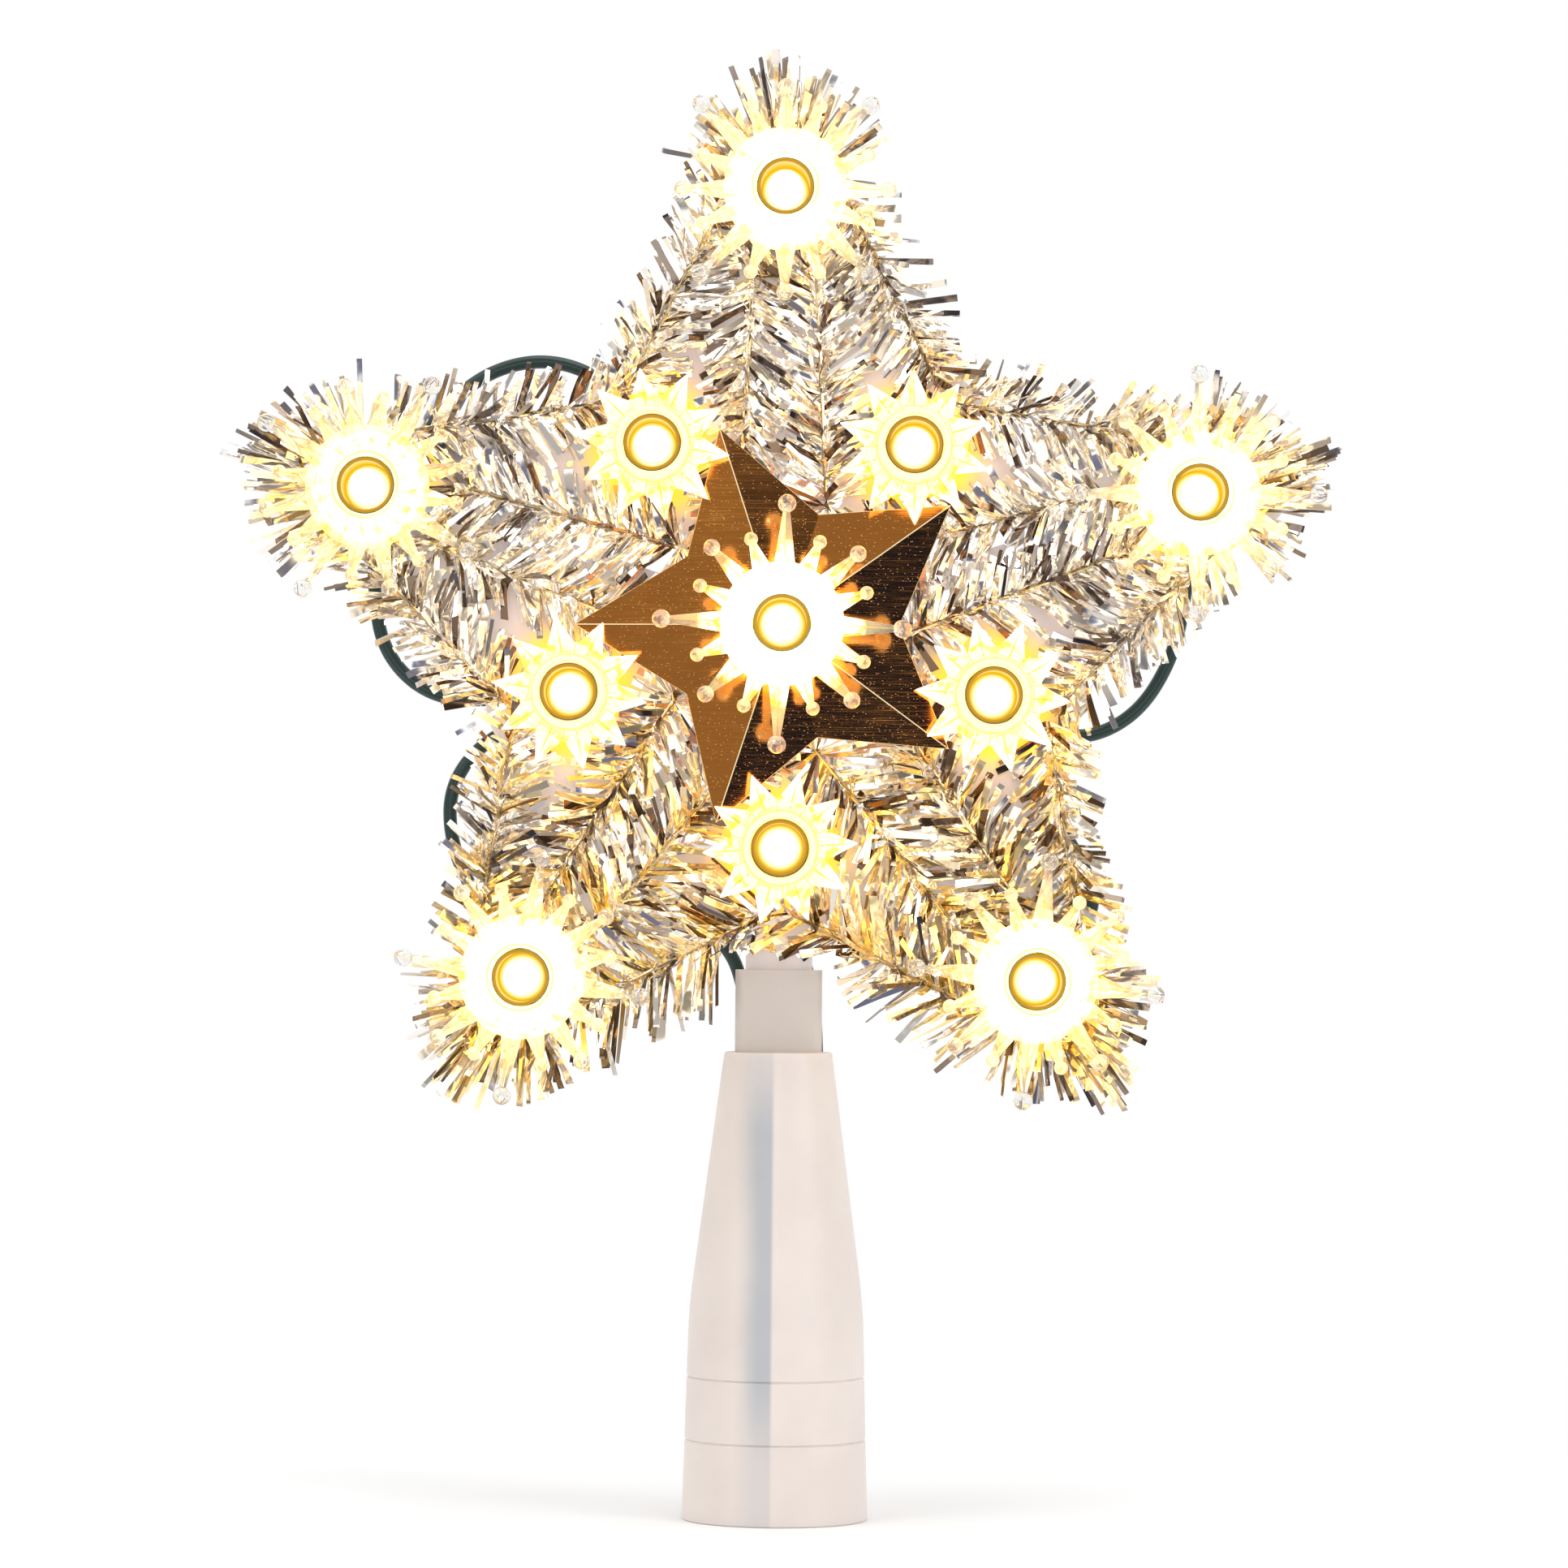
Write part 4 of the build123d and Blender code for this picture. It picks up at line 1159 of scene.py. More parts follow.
@dataclass
class TreeCone:
    """Milky cone that slips over the leader, with its neck."""

    mouth: float = 16.05
    skirt: float = 15.0
    skirt_height: float = 37.0
    top: float = 9.3
    height: float = 80.6
    wall: float = 1.25
    rim: float = 0.25
    sides: int = 128
    scores: Pair = (13.8, 24.6)
    score_depth: float = 0.3
    bend: float = 3.0
    bend_round: float = 0.12
    seam_width: float = 1.3
    seam_proud: float = 0.14
    seam_margin: float = 0.1
    neck_width: float = 15.0
    neck_depth: float = 7.0
    neck_corner: float = 1.6
    corner_steps: int = 6
    neck_low: float = 72.6
    neck_top: float = 94.8
    slot_wall: float = 1.2
    slot_depth: float = 20.6
    slot_break: float = 0.15
    crease: float = 24

    def radius(self, height: float) -> float:
        """Outside radius of the cone.

        Args:
            height: height above its mouth.

        Returns:
            The radius at that height.
        """
        if height < self.skirt_height:
            return self.mouth + (self.skirt - self.mouth) * height / self.skirt_height
        share = (height - self.skirt_height) / (self.height - self.skirt_height)
        return self.skirt + (self.top - self.skirt) * share

    def neck_outline(self, bm: BMesh, level: float) -> list[BMEdge]:
        """Draw the neck's rounded outline.

        Args:
            bm: mesh that it is added to.
            level: its height.

        Returns:
            Its edges.
        """
        corners = []
        for right, back in ((1, 1), (-1, 1), (-1, -1), (1, -1)):
            start = math.atan2(back, right) - math.pi / 4
            for step in range(self.corner_steps + 1):
                angle = start + math.pi / 2 * step / self.corner_steps
                x = right * (self.neck_width / 2 - self.neck_corner) + self.neck_corner * math.cos(angle)
                y = back * (self.neck_depth / 2 - self.neck_corner) + self.neck_corner * math.sin(angle)
                corners.append(bm.verts.new((x, y, level)))
        return [bm.edges.new(pair) for pair in zip(corners, corners[1:] + corners[:1])]

    def close_lid(self, bm: BMesh) -> None:
        """Close the cone's top round the neck, so that the neck stands in an opening.

        Args:
            bm: the cone's mesh.
        """
        rings = []
        for level in (self.height, self.height - self.wall):
            rim = [
                edge for edge in bm.edges
                if edge.is_boundary and abs(edge.verts[0].co.z - level) < LEVEL_GAP
            ]
            rings.append(self.neck_outline(bm, level))
            bmesh.ops.triangle_fill(bm, edges=rim + rings[-1], use_beauty=True)
        bmesh.ops.bridge_loops(bm, edges=rings[0] + rings[1])

    def raise_seams(self, bm: BMesh) -> None:
        """Raise the moulding seams on the outside, front and back.

        Args:
            bm: the cone's mesh.
        """
        for vertex in bm.verts:
            radius = vertex.co.xy.length
            outer = abs(radius - self.radius(vertex.co.z)) < self.wall / 2
            within = self.seam_margin < vertex.co.z < self.height - self.seam_margin
            if outer and within and abs(vertex.co.x) < self.seam_width / 2:
                vertex.co.xy *= 1 + self.seam_proud / radius

    def build_cone(self) -> None:
        """Turn the shell with its scored rings and close it round the neck."""
        bm = bmesh.new()
        outside = [(self.mouth - self.rim, 0), (self.mouth, self.rim)]
        for score in self.scores:
            radius = self.radius(score)
            outside += [(radius, score - self.score_depth), (radius - self.score_depth, score)]
            outside.append((radius, score + self.score_depth))
        for height in (-self.bend, -self.bend / 3, self.bend / 3, self.bend):
            level = self.skirt_height + height
            outside.append((self.radius(level) - self.bend_round * (1 - abs(height) / self.bend), level))
        shoulder = self.height - self.rim
        outside += [(self.radius(shoulder), shoulder), (self.top - self.rim, self.height)]
        inside = []
        for height in (self.height - self.wall, self.skirt_height, *reversed(self.scores), self.rim):
            inside.append((self.radius(height) - self.wall - self.score_depth, height))
        inside.append((self.mouth - self.wall, 0))
        spin_profile(bm, [*reversed(outside), *reversed(inside)], self.sides, False)
        self.close_lid(bm)
        self.raise_seams(bm)
        link_piece(bm, "cone_shell", CONE_PLASTIC, "base", ["tree_cone"], crease=self.crease)

    def build_neck(self) -> None:
        """Make the flat sided neck with the slot for the frame's tongue."""
        bm = bmesh.new()
        tall = self.neck_top - self.neck_low
        add_box(bm, (0, 0, self.neck_low + tall / 2), (self.neck_width, self.neck_depth, tall))
        upright = [edge for edge in bm.edges if abs(edge.verts[0].co.z - edge.verts[1].co.z) > tall / 2]
        break_edges(bm, upright, self.neck_corner, self.corner_steps)
        lids = [face for face in bm.faces if face.normal.z > 0.9]
        bmesh.ops.inset_region(bm, faces=lids, thickness=self.slot_wall, use_even_offset=True)
        bmesh.ops.translate(bm, verts=lids[0].verts, vec=(0, 0, -self.slot_break))
        floor = extruded_corners(bmesh.ops.extrude_face_region(bm, geom=lids))
        bmesh.ops.translate(bm, verts=floor, vec=(0, 0, self.slot_break - self.slot_depth))
        bmesh.ops.delete(bm, geom=[face for face in lids if face.is_valid], context="FACES_ONLY")
        link_piece(bm, "neck_post", NECK_PLASTIC, "base", ["neck_socket"])


class Loop(Enum):
    """The two garlands that run round the star."""

    OUTER = "outer"
    INNER = "inner"


@dataclass(frozen=True)
class Run:
    """One straight stretch of a garland, drawn for a point of the star that lies upwards."""

    start: Vector
    end: Vector
    side: int
    fans: tuple[Pair, ...]
    hub: Vector | None = None


@dataclass
class Tinsel:
    """Foil fringe on a twisted core, two garlands to each point of the star."""

    lamps: dict[str, Lamp]
    core_radius: float = 0.45
    core_height: float = 1.2
    core_gap: float = 0.6
    core_sides: int = 8
    core_warm: float = 0.6
    core_shade: float = 0.8
    offset: float = 9.0
    wrap_reach: float = 13.0
    inner_top: Pair = (5.5, 14.0)
    inner_low: Pair = (7.5, 21.0)
    pitch: float = 0.21
    lean: float = 30
    lean_spread: float = 8
    both_sides: tuple[Pair, ...] = ((-12, 30), (150, 185), (-12, 30), (150, 185), (30, 150))
    sparse_edge: tuple[Pair, ...] = ((-12, 30), (150, 185), (150, 185), (30, 150))
    one_side: tuple[Pair, ...] = ((-25, 25), (0, 60))
    lengths: Pair = (6.5, 10.5)
    tip_share: float = 1.35
    tip_from: float = 58.0
    hang_below: float = -38.0
    hang_beside: float = 45.0
    hang_share: float = 0.4
    template_count: int = 8
    bend: float = 1.8
    twist: float = 1.3
    wave: float = 0.5
    taper: float = 0.2
    widths: Pair = (0.65, 1.25)
    thickness: float = 0.06
    roll: float = 0.75
    shortest: float = 1.6
    shares: tuple[float, ...] = (1.0, 0.85, 0.7, 0.55, 0.4)
    probes: tuple[float, ...] = (0.4, 0.7, 1.0)
    curl_pitch: float = 0.8
    curl_lengths: Pair = (2.0, 4.0)
    curl_rise: Pair = (0.2, 0.9)
    tuft_count: int = 36
    tuft_lengths: Pair = (6.0, 10.0)
    tuft_spread: float = 110
    tuft_rise: float = 0.45
    warm_shares: tuple[float, ...] = (0.1, 0.4, 0.9, 1.0)
    warm_near: float = 12.0
    warm_far: float = 40.0
    warm_least: float = 0.7
    warm_at: float = 0.4
    warm_loss: float = 0.45
    shade_shares: tuple[float, ...] = (0.0, 0.0, 0.0, 0.0, 0.4, 1.0)
    tip_shade_shares: tuple[float, ...] = (0.0, 0.0, 0.2, 0.5, 0.9)
    low_depth: float = 6.4
    full_depth: float = 11.0
    sleeve_room: float = 7.6
    sleeve_clear: float = 6.8
    burst_room: float = 23.0
    sun_room: float = 14.6
    foil_room: float = 38.0
    neck_room: Pair = (10.0, 97.0)
    frame_gap: float = 0.15
    ray_start: float = -100
    seed: int = 7
    rng: random.Random | None = None
    frame_tree: BVHTree | None = None
    templates: list[Mesh] = field(default_factory=list)
    mesh: BMesh | None = None
    warm: list[float] = field(default_factory=list)
    shade: list[float] = field(default_factory=list)

    def make_templates(self) -> None:
        """Draw the few bent and twisted strips that every garland repeats."""
        self.rng = random.Random(self.seed)
        for k in range(self.template_count):
            bm = bmesh.new()
            bmesh.ops.create_grid(bm, x_segments=1, y_segments=3, size=0.5)
            bend, twist, wave = (self.rng.uniform(-most, most) for most in (self.bend, self.twist, self.wave))
            for vertex in bm.verts:
                along = vertex.co.y + 0.5
                lift = bend * along * along + twist * vertex.co.x * along + wave * math.sin(math.pi * along)
                vertex.co = (vertex.co.x * (1 - self.taper + self.taper * along), lift, along)
            bmesh.ops.solidify(bm, geom=bm.faces, thickness=self.thickness)
            bmesh.ops.recalc_face_normals(bm, faces=bm.faces)
            mesh = bpy.data.meshes.new(f"strip_{k}")
            bm.to_mesh(mesh)
            bm.free()
            self.templates.append(mesh)

    def runs(self, loop: Loop) -> list[Run]:
        """Stretches of one garland in the direction in which its fringe leans.

        Args:
            loop: which of the two garlands.

        Returns:
            The stretches, in order.
        """
        centre, tip_lamp, notch_lamp = (self.lamps[name] for name in ("centre", "tip_1", "notch_1"))
        tip = Vector((0, tip_lamp.z - centre.z))
        notch = Vector((notch_lamp.x - centre.x, notch_lamp.z - centre.z))
        if loop is Loop.INNER:
            top_x, drop = self.inner_top
            points = [Vector(self.inner_low), Vector((top_x, tip.y - drop))]
            points += [Vector((-point.x, point.y)) for point in reversed(points)]
            fans = (self.both_sides, self.one_side, self.both_sides)
            return [Run(a, b, -1, fan) for a, b, fan in zip(points, points[1:], fans)]
        along = (notch - tip).normalized()
        outward = Vector((-along.y, along.x))
        shoulder = tip + outward * self.offset
        border = Vector((-notch.y, notch.x)).normalized()
        run = (shoulder.dot(border) - self.core_radius - self.core_gap) / -along.dot(border)
        right = [shoulder, shoulder + along * run]
        left = [Vector((-point.x, point.y)) for point in reversed(right)]
        points = [*left, tip + Vector((0, self.wrap_reach)), *right]
        fans = (self.sparse_edge, self.one_side, self.one_side, self.sparse_edge)
        hubs = (None, tip, tip, None)
        return [Run(a, b, 1, fan, hub) for a, b, fan, hub in zip(points, points[1:], fans, hubs)]

    def away(self, point: Vector, lamp: Lamp) -> float:
        """Distance of a point from a lamp's axis."""
        centre = self.lamps["centre"]
        return math.hypot(point.x - lamp.x + centre.x, point.y - lamp.z + centre.z)

    def allowed(self, point: Vector) -> bool:
        """Whether a strip may reach a point.

        Args:
            point: right and up from the star's middle, and forward of the frame.

        Returns:
            Whether there is room at the point for what moves.
        """
        depth = self.low_depth if point.xy.length < self.foil_room else self.full_depth
        for lamp in self.lamps.values():
            away = self.away(point, lamp)
            if away < self.sleeve_room:
                return False
            if away < (self.burst_room if lamp.kind is LampKind.STARBURST else self.sun_room):
                depth = self.low_depth
        half, top = self.neck_room
        if abs(point.x) < half and point.y + self.lamps["centre"].z < top:
            return False
        return point.z < depth

    def read_frame(self) -> None:
        """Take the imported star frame's shape, which no strip may pass through."""
        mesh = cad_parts["star_frame"].data
        corners = [vertex.co for vertex in mesh.vertices]
        self.frame_tree = BVHTree.FromPolygons(corners, [tuple(face.vertices) for face in mesh.polygons])

    def over_frame(self, point: Vector) -> bool:
        """Whether the frame lies behind or in front of a point.

        Args:
            point: right and up from the star's middle.

        Returns:
            Whether a line through the point, straight back, meets the frame.
        """
        centre = self.lamps["centre"]
        start = Vector((point.x + centre.x, self.ray_start, point.y + centre.z)) * MM
        return self.frame_tree.ray_cast(start, Vector((0, 1, 0)))[0] is not None

    def clear_frame(self, strip: Mesh, foot: Vector) -> None:
        """Tilt a strip forward as far as it needs to stay in front of the frame.

        Args:
            strip: mesh of the strip.
            foot: where it starts.
        """
        tilt = 0.0
        for vertex in strip.vertices:
            short = self.frame_gap - vertex.co.z
            if short > 0 and self.over_frame(vertex.co):
                tilt = max(tilt, short / max((vertex.co - foot).length, self.shortest))
        for vertex in strip.vertices:
            vertex.co.z += tilt * (vertex.co - foot).length

    def free_share(self, foot: Vector, whole: Vector) -> float:
        """Largest share of a strip that keeps clear of what moves.

        Args:
            foot: where the strip starts.
            whole: its whole length as a vector.

        Returns:
            The share, 0 where there is no room.
        """
        for share in self.shares:
            if all(self.allowed(foot + whole * share * part) for part in self.probes):
                return share
        return 0.0

    def warmth(self, point: Vector) -> float:
        """How strongly the nearest lamp lights a point, more so low on the star.

        Args:
            point: right and up from the star's middle, and forward of the frame.

        Returns:
            The strength, from 0 to 1.
        """
        near = min(self.away(point, lamp) for lamp in self.lamps.values())
        share = (self.warm_far - near) / (self.warm_far - self.warm_near)
        low = min(max(-point.y / self.warm_far, 0.0), 1.0)
        return min(max(share, 0.0) * self.warm_least * (1 + low), 1.0)

    def add_strip(self, foot: Vector, heading: Vector, along: Vector, length: float) -> None:
        """Lay one strip into the garland that is being made, cut short where there is no room for it.

        Args:
            foot: where the strip starts.
            heading: direction in which it runs.
            along: direction of the core, across which it lies.
            length: its full length.
        """
        length *= self.free_share(foot, heading * length)
        if length < self.shortest:
            return
        across = (along - heading * along.dot(heading)).normalized()
        rng = self.rng
        across = Matrix.Rotation(rng.uniform(-self.roll, self.roll), 3, heading) @ across
        columns = (across * rng.uniform(*self.widths), heading.cross(across), heading * length, foot)
        matrix = Matrix([[*(column[row] for column in columns)] for row in range(3)] + [[0, 0, 0, 1]])
        strip = rng.choice(self.templates).copy()
        strip.transform(matrix)
        self.clear_frame(strip, foot)
        lamps = self.lamps.values()
        gaps = (self.away(vertex.co, lamp) for vertex in strip.vertices for lamp in lamps)
        if all(gap >= self.sleeve_clear for gap in gaps):
            self.mesh.from_mesh(strip)
            light = self.warmth(foot + heading * length * self.warm_at) * rng.choice(self.warm_shares)
            # Painted shade of the strip, more often dark out at the points.
            tone = rng.choice(self.tip_shade_shares if foot.xy.length > self.tip_from else self.shade_shares)
            for vertex in strip.vertices:
                self.warm.append(light * (1 - self.warm_loss * (vertex.co - foot).length / length))
                self.shade.append(tone)
        bpy.data.meshes.remove(strip)

    def add_core(self, start: Vector, end: Vector) -> None:
        """Lay the twisted core of one stretch.

        Args:
            start: where it starts.
            end: where it ends.
        """
        lay = (end - start).normalized().to_track_quat("Z", "Y").to_matrix().to_4x4()
        before = len(self.mesh.verts)
        bmesh.ops.create_cone(
            self.mesh, cap_ends=True, segments=self.core_sides,
            radius1=self.core_radius, radius2=self.core_radius, depth=(end - start).length + self.core_radius,
            matrix=Matrix.Translation((start + end) / 2) @ lay,
        )
        extra = len(self.mesh.verts) - before
        self.warm += [self.core_warm] * extra
        self.shade += [self.core_shade] * extra

    def add_run(self, run: Run, spin: Matrix) -> None:
        """Fringe one straight stretch and lay its core.

        Args:
            run: the stretch, drawn for the upper point.
            spin: turn from the upper point to the one that is being made.
        """
        rng = self.rng
        start, end = (spin @ Vector((*point, self.core_height)) for point in (run.start, run.end))
        hub = spin @ Vector((*run.hub, 0)) if run.hub else None
        stretch = (end - start).length
        along = (end - start).normalized()
        outward = Vector((-along.y, along.x, 0)) * run.side
        for k in range(int(stretch / self.pitch)):
            foot = start + along * (k + rng.random()) * self.pitch
            angle = math.radians(rng.uniform(*rng.choice(run.fans)))
            lean = math.radians(rng.gauss(0 if hub else self.lean, self.lean_spread))
            if hub:
                outward = Vector((foot.x - hub.x, foot.y - hub.y, 0)).normalized()
            heading = (outward * math.cos(angle) + Vector((0, 0, math.sin(angle)))) * math.cos(lean)
            length = rng.uniform(*self.lengths) * (self.tip_share if hub else 1)
            if not hub and foot.y < self.hang_below and abs(foot.x) < self.hang_beside:
                length *= 1 - self.hang_share * min(outward.y, 0)
            self.add_strip(foot, heading + along * math.sin(lean), along, length)
        for k in range(int(stretch / self.curl_pitch)):
            foot = start + along * (k + rng.random()) * self.curl_pitch
            heading = Vector((rng.gauss(0, 1), rng.gauss(0, 1), rng.uniform(*self.curl_rise))).normalized()
            self.add_strip(foot, heading, along, rng.uniform(*self.curl_lengths))
        self.add_core(start, end)

    def add_tuft(self, place: Vector, away: Vector) -> None:
        """Spread strips round the cut end of a garland.

        Args:
            place: where the garland ends.
            away: direction in which it ends.
        """
        rng, side = self.rng, Vector((-away.y, away.x, 0))
        for _ in range(self.tuft_count):
            angle = math.radians(rng.uniform(-self.tuft_spread, self.tuft_spread))
            lift = Vector((0, 0, rng.uniform(0, self.tuft_rise)))
            heading = away * math.cos(angle) + side * math.sin(angle) + lift
            self.add_strip(place, heading.normalized(), side, rng.uniform(*self.tuft_lengths))

    def build(self, loop: Loop, arm: int) -> None:
        """Make one garland of one point of the star.

        Args:
            loop: which of the two garlands.
            arm: number of the point, clockwise from the top.
        """
        self.mesh, self.warm, self.shade = bmesh.new(), [], []
        spin = Matrix.Rotation(math.radians(-arm * STAR_STEP), 3, "Z")
        runs = self.runs(loop)
        for run in runs:
            self.add_run(run, spin)
        if loop is Loop.INNER:
            for point in (runs[0].start, runs[-1].end):
                self.add_tuft(spin @ Vector((*point, self.core_height)), spin @ Vector((0, -1, 0)))
        centre = self.lamps["centre"]
        piece = link_piece(
            self.mesh, f"fringe_{loop.value}_{arm + 1}", SILVER_FOIL, "star",
            [f"tinsel_{loop.value}"], facing(centre.x, FRAME_FRONT, centre.z),
        )
        keep_reading(piece.data, "warm", self.warm)
        keep_reading(piece.data, "shade", self.shade)

    def build_all(self) -> None:
        """Make every garland, point by point."""
        self.make_templates()
        self.read_frame()
        self.rng = random.Random(self.seed)
        for arm in range(STAR_POINTS):
            for loop in Loop:
                self.build(loop, arm)


LEAD_ROUTES = {
    "notch_3_tip_4": (144.6, [
        (-1.7, -38.2), (-0.6, -43.1), (3.2, -53.5), (6.2, 16.5, -64), (6.76, 12.9, -74.7),
        (6.76, 12.9, -81.3), (3.1, 15.9, -86), (-1.9, 20.1, -86), (-5.56, 23.1, -81.3),
        (-5.56, 23.1, -74.7), (-5.6, 22.5, -64.5), (-9, 21, -54.5), (-19, -50), (-30, -54), (-38.3, -59.3),
        (-42.7, -61.68)]),
    "tip_4_notch_4": (79.6, [
        (-45.46, -59.68), (-47.9, -55.3), (-53.5, -47.5), (-58.2, -37.5), (-58.4, -27), (-51.5, -18.5),
        (-40.55, -14.97), (-35.8, -13.42)]),
    "notch_4_tip_5": (78.6, [
        (-36.86, -10.18), (-41.8, -10.8), (-50, -12.3), (-62, -12), (-70.5, -4), (-72.2, 8),
        (-71.98, 16.56), (-71.86, 21.56)]),
    "tip_5_notch_5": (82.7, [
        (-70.8, 24.8), (-67.9, 28.9), (-62.5, 36.5), (-53.5, 45.5), (-42, 48.5), (-31, 44.5),
        (-26.03, 34.39), (-23.83, 29.9)]),
    "notch_5_tip_1": (69.3, [
        (-21.07, 31.9), (-21.9, 36.8), (-23.2, 43.5), (-21.5, 56), (-15.5, 67), (-6.03, 72.5), (-1.7, 75)]),
    "tip_1_notch_1": (79.7, [
        (1.7, 75), (1.1, 70.04), (0.3, 63.5), (-4.5, 53), (-5.5, 43.5), (1.5, 35.5), (9.5, 32),
        (16.07, 31.94), (21.07, 31.9)]),
    "notch_1_tip_2": (66.8, [
        (23.83, 29.9), (28.04, 27.2), (33.5, 23.5), (45, 20), (57.5, 20.3), (66.07, 23.2), (70.8, 24.8)]),
    "tip_2_notch_2": (82.7, [
        (71.86, 21.56), (71.72, 16.56), (71.5, 9), (69.3, -3.5), (62.5, -14.5), (51.5, -19),
        (41.14, -12.76), (36.86, -10.18)]),
    "notch_2_tip_3": (72.5, [
        (35.8, -13.42), (38.17, -17.82), (41.5, -24), (50.5, -35), (55.8, -45), (54.2, -51.2),
        (49.05, -56.2), (45.46, -59.68)]),
    "tip_3_centre": (131.6, [
        (42.7, -61.68), (40.2, -57.35), (36.5, -51), (32, -39), (25.5, -28.5), (22.5, -17), (23, -5),
        (26.5, 5.5), (24, 15.5), (14.5, 18.5, 18.5), (6.5, 16.3, 12.5), (3.49, 14.1, 4.67), (1.7, 9.1, 0),
        (1.7, 2.078, 0)]),
    "centre_notch_3": (79.4, [
        (-1.7, 2.078, 0), (-1.7, 9.1, 0), (-6.66, 14.1, -0.6), (-13, 17, -2), (-21, 19.5, -8.5),
        (-21.5, -18), (-13, -28.5), (-2.47, -35.45), (1.7, -38.2)]),
}


def full_route(points: list[Pair | Triple]) -> list[Triple]:
    """Fill in the depths of a stretch of lead.

    Args:
        points: places right of the star's middle, back where it isn't the usual depth, and above the middle.

    Returns:
        The places with their depths; an end without its own depth goes straight back out of its holder.
    """
    ends = {0: LEAD_EXIT, len(points) - 1: LEAD_EXIT[::-1]}
    places = []
    for k, point in enumerate(points):
        if len(point) == 3:
            places.append(point)
        else:
            places += [(point[0], depth, point[1]) for depth in ends.get(k, (LEAD_DEPTH,))]
    return places


@dataclass
class Lead:
    """Green lead that runs from holder to holder behind the star."""

    centre: Lamp
    diameter: float = 2.4
    round_steps: int = 5
    bend_steps: int = 12
    order: int = 3

    def build(self, name: str, length: float, route: list[Triple]) -> None:
        """Make one stretch of lead as a smooth curve.

        Args:
            name: the holders that it joins.
            length: its real length in millimetres.
            route: points right of the star's middle, back, and above the middle.
        """
        curve = bpy.data.curves.new(f"lead_{name}", "CURVE")
        curve.dimensions = "3D"
        curve.bevel_depth = self.diameter / 2 * MM
        curve.bevel_resolution = self.round_steps
        curve.resolution_u = self.bend_steps
        curve.use_fill_caps = True
        spline = curve.splines.new("NURBS")
        spline.points.add(len(route) - 1)
        for point, (x, y, z) in zip(spline.points, route):
            point.co = (x * MM, y * MM, (z + self.centre.z) * MM, 1)
        spline.order_u = self.order
        spline.use_endpoint_u = True
        curve.materials.append(SHEATH_GREEN.material())
        piece = place_object(f"lead_{name}", curve)
        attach(piece, "star")
        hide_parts("lamp_lead")
        LOG.info("lead_%s: %.1f mm", name, length)


@dataclass(frozen=True)
class SoftBox:
    """One square soft light that faces the star, in metres and watts."""

    name: str
    place: Triple
    size: float
    power: float

    def build(self, target: Triple) -> None:
        """Hang the light.

        Args:
            target: place that it faces.
        """
        data = bpy.data.lights.new(self.name, "AREA")
        data.size = self.size
        data.energy = self.power
        lamp = place_object(self.name, data)
        lamp.location = self.place
        lamp.rotation_euler = (Vector(target) - Vector(self.place)).to_track_quat("-Z", "Y").to_euler()


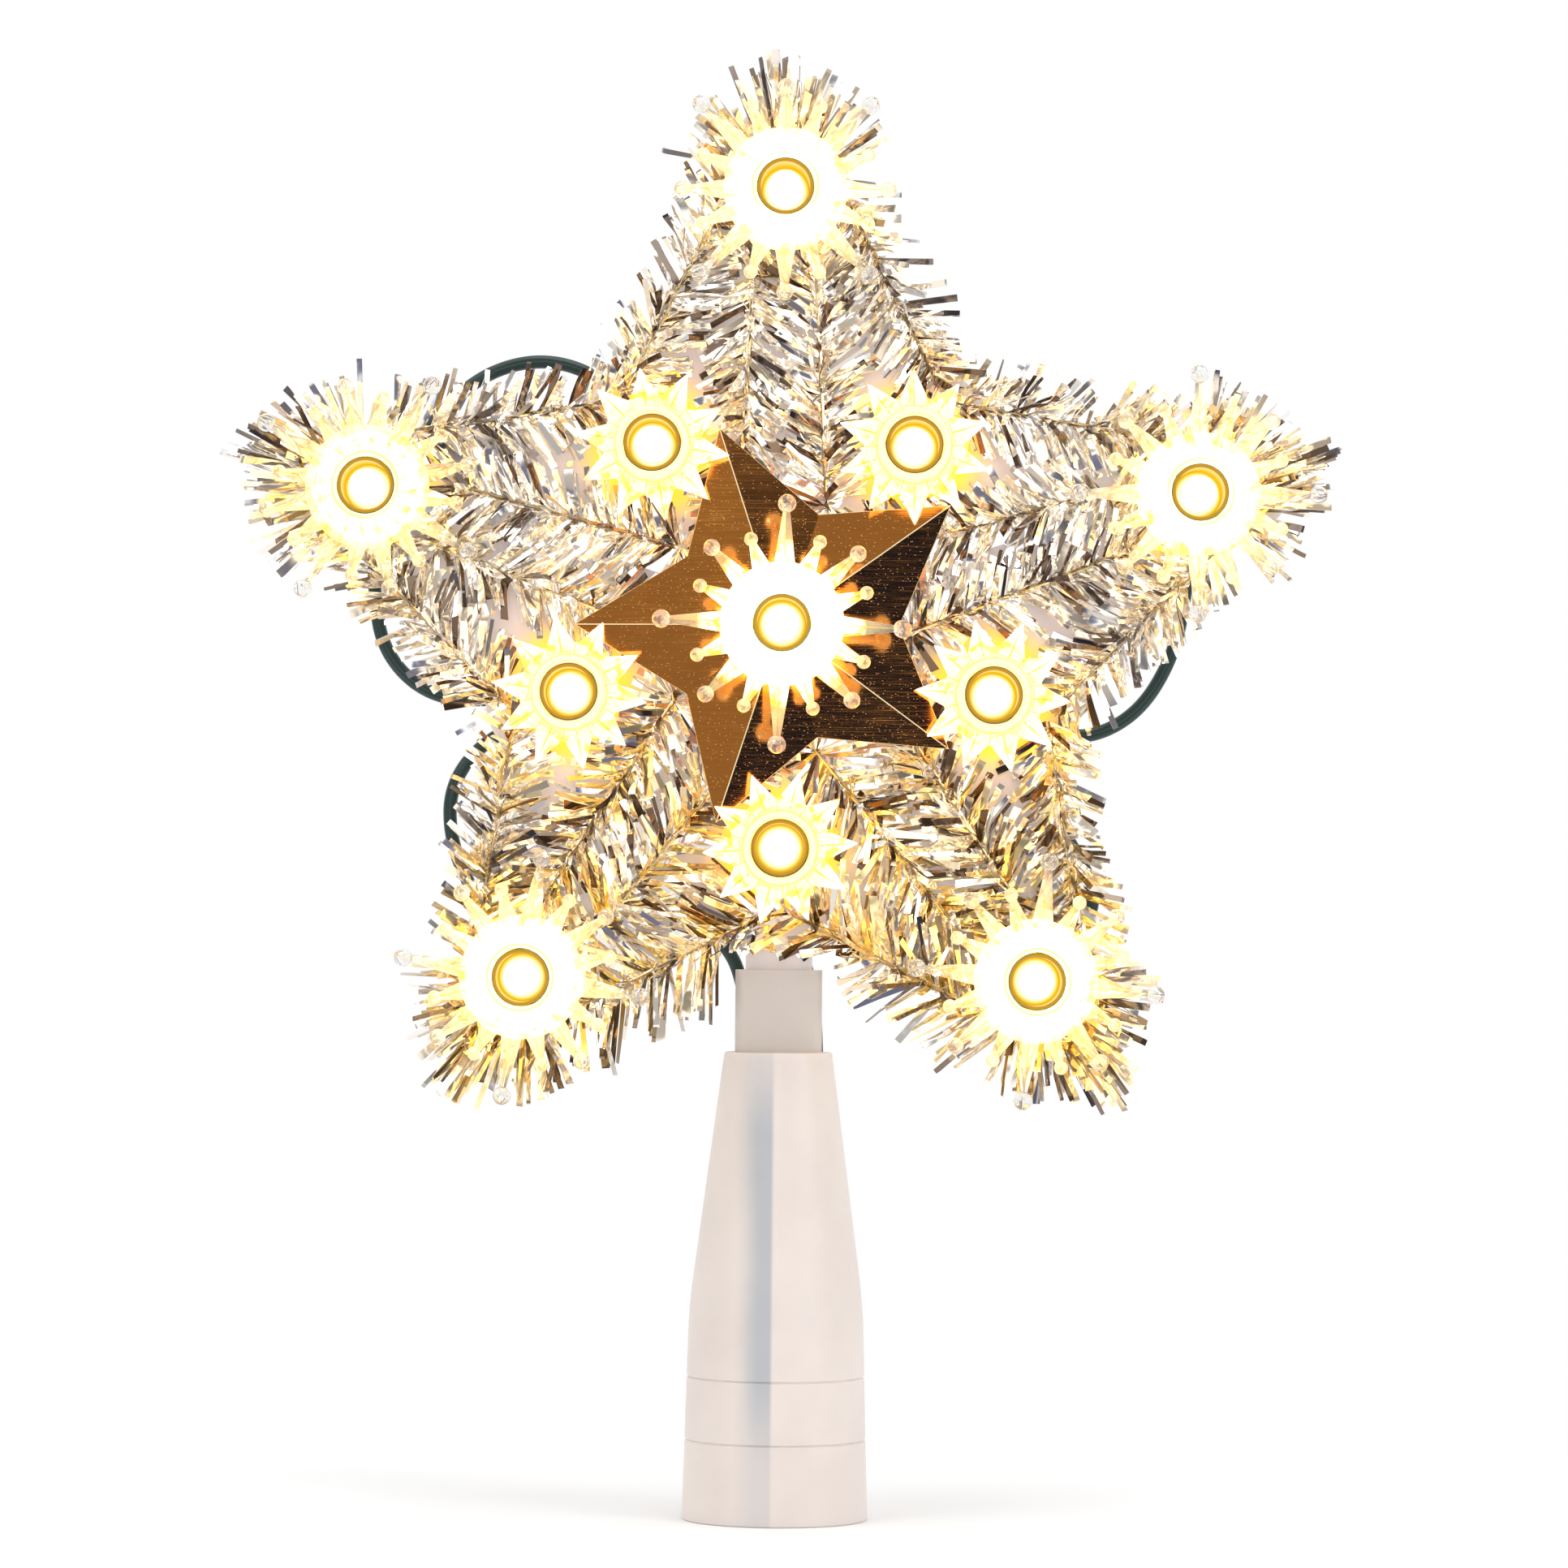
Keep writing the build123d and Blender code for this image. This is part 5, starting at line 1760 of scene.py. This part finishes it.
@dataclass
class Studio:
    """Pale floor, soft lights, white surround and the camera of the photograph."""

    camera_place: Triple = (0.0006, -1.04, 0.1064)
    target: Triple = (0.0006, 0.0, 0.127)
    field_degrees: float = 14.873
    roll_degrees: float = 0.487
    sensor: float = 36
    clip: Pair = (0.01, 50)
    floor_radius: float = 0.2
    floor_sides: int = 96
    panel_dark: Colour = (0.03, 0.03, 0.035)
    panel_bright: Colour = (1.65, 1.65, 1.65)
    near_left: Colour = (0.34, 0.31, 0.28)
    near_right: Colour = (0.004, 0.014, 0.10)
    flank: Colour = (0.1, 0.1, 0.1)
    flank_edge: Pair = (0.8, 0.97)
    flank_share: float = 0.75
    panel_scale: float = 3.4
    panel_edge: Pair = (0.31, 0.39)
    lean: float = 0.8
    lean_edge: Pair = (-0.25, -0.1)
    side_edge: Pair = (-0.34, 0.16)
    ring_inner: Pair = (-0.95, -0.92)
    ring_outer: Pair = (-0.78, -0.7)
    sweep_edge: Pair = (0.0, 0.3)
    star_middle: Triple = (0, 0, 0.13)
    lights: tuple[SoftBox, ...] = (
        SoftBox("key_left", (-0.75, -0.85, 0.75), size=0.55, power=0.9),
        SoftBox("fill_right", (0.9, -0.75, 0.45), size=0.35, power=1.7),
        SoftBox("top_soft", (0.1, -0.2, 1.1), size=0.6, power=1.5),
    )

    def build_camera(self) -> None:
        """Set the camera at the photograph's angle."""
        data = bpy.data.cameras.new("camera")
        data.sensor_width = self.sensor
        data.lens = data.sensor_width / 2 / math.tan(math.radians(self.field_degrees / 2))
        data.clip_start, data.clip_end = self.clip
        camera = place_object("camera", data)
        view = (Vector(self.target) - Vector(self.camera_place)).to_track_quat("-Z", "Y")
        roll = turn_by(math.radians(self.roll_degrees))
        camera.matrix_world = Matrix.Translation(self.camera_place) @ view.to_matrix().to_4x4() @ roll
        bpy.context.scene.camera = camera

    def build_world(self) -> None:
        """White for the camera; otherwise a white sweep behind and a dim room in front, dark on the right."""
        world = bpy.data.worlds.new("studio")
        world.use_nodes = True
        bpy.context.scene.world = world
        canvas = Canvas(world.node_tree)
        aim = canvas.place("Generated")
        axes = canvas.axes(aim)
        panels = canvas.span(canvas.noise(aim, self.panel_scale, detail=0.0), *self.panel_edge)
        flank = canvas.span(canvas.math("ABSOLUTE", axes[0]), *self.flank_edge)
        flank = canvas.times(flank, self.flank_share)
        room = canvas.blend(flank, canvas.blend(panels, self.panel_dark, self.panel_bright), self.flank)
        high = canvas.times(axes[2], canvas.span(axes[0], *self.lean_edge))
        side = canvas.span(canvas.scale(high, -self.lean, axes[0]), *self.side_edge)
        ring = canvas.rest(canvas.span(axes[1], *self.ring_outer))
        ring = canvas.times(canvas.span(axes[1], *self.ring_inner), ring)
        room = canvas.blend(ring, room, canvas.blend(side, self.near_left, self.near_right))
        seen = canvas.blend(canvas.span(axes[1], *self.sweep_edge), room, WHITE)
        path = canvas.add("LightPath").outputs
        straight = canvas.math("MAXIMUM", path["Is Camera Ray"], path["Is Transmission Ray"])
        back = world.node_tree.nodes["Background"]
        canvas.fill(back, {"Color": canvas.blend(straight, seen, WHITE), "Strength": 1.0})

    def build_floor(self) -> None:
        """Lay the pale floor, which keeps the object's shadow."""
        bm = bmesh.new()
        bmesh.ops.create_circle(bm, cap_ends=True, segments=self.floor_sides, radius=self.floor_radius)
        mesh = bpy.data.meshes.new("floor")
        bm.to_mesh(mesh)
        bm.free()
        mesh.materials.append(FLOOR_PAINT.material())
        floor = place_object("floor", mesh)

    def build(self) -> None:
        """Set up the whole studio."""
        bpy.context.scene.view_settings.view_transform = "Standard"
        self.build_camera()
        self.build_world()
        self.build_floor()
        for light in self.lights:
            light.build(self.star_middle)


def main() -> None:
    """Build every piece in order and log it."""
    logging.basicConfig(level=logging.INFO, format="%(message)s")
    Studio().build()
    lamps = read_lamps()
    lead = Lead(lamps["centre"])
    for name, (length, route) in LEAD_ROUTES.items():
        lead.build(name, length, full_route(route))
    cone = TreeCone()
    cone.build_cone()
    cone.build_neck()
    spots = tuple((lamp.x * MM, lamp.seat * MM, lamp.z * MM) for lamp in lamps.values())
    dress_node("star_frame", MilkyPlastic("milky_frame", (0.76, 0.71, 0.70), lit_by=spots))
    dress_node("holder_contacts", TINNED_METAL)
    FoilStar(lamps["centre"]).build()
    for lamp in lamps.values():
        Reflector(lamp).build()
        unit = LampUnit(lamp)
        unit.build_glass()
        unit.build_base()
        unit.build_holder()
    Tinsel(lamps).build_all()


if __name__ == "__main__":
    main()
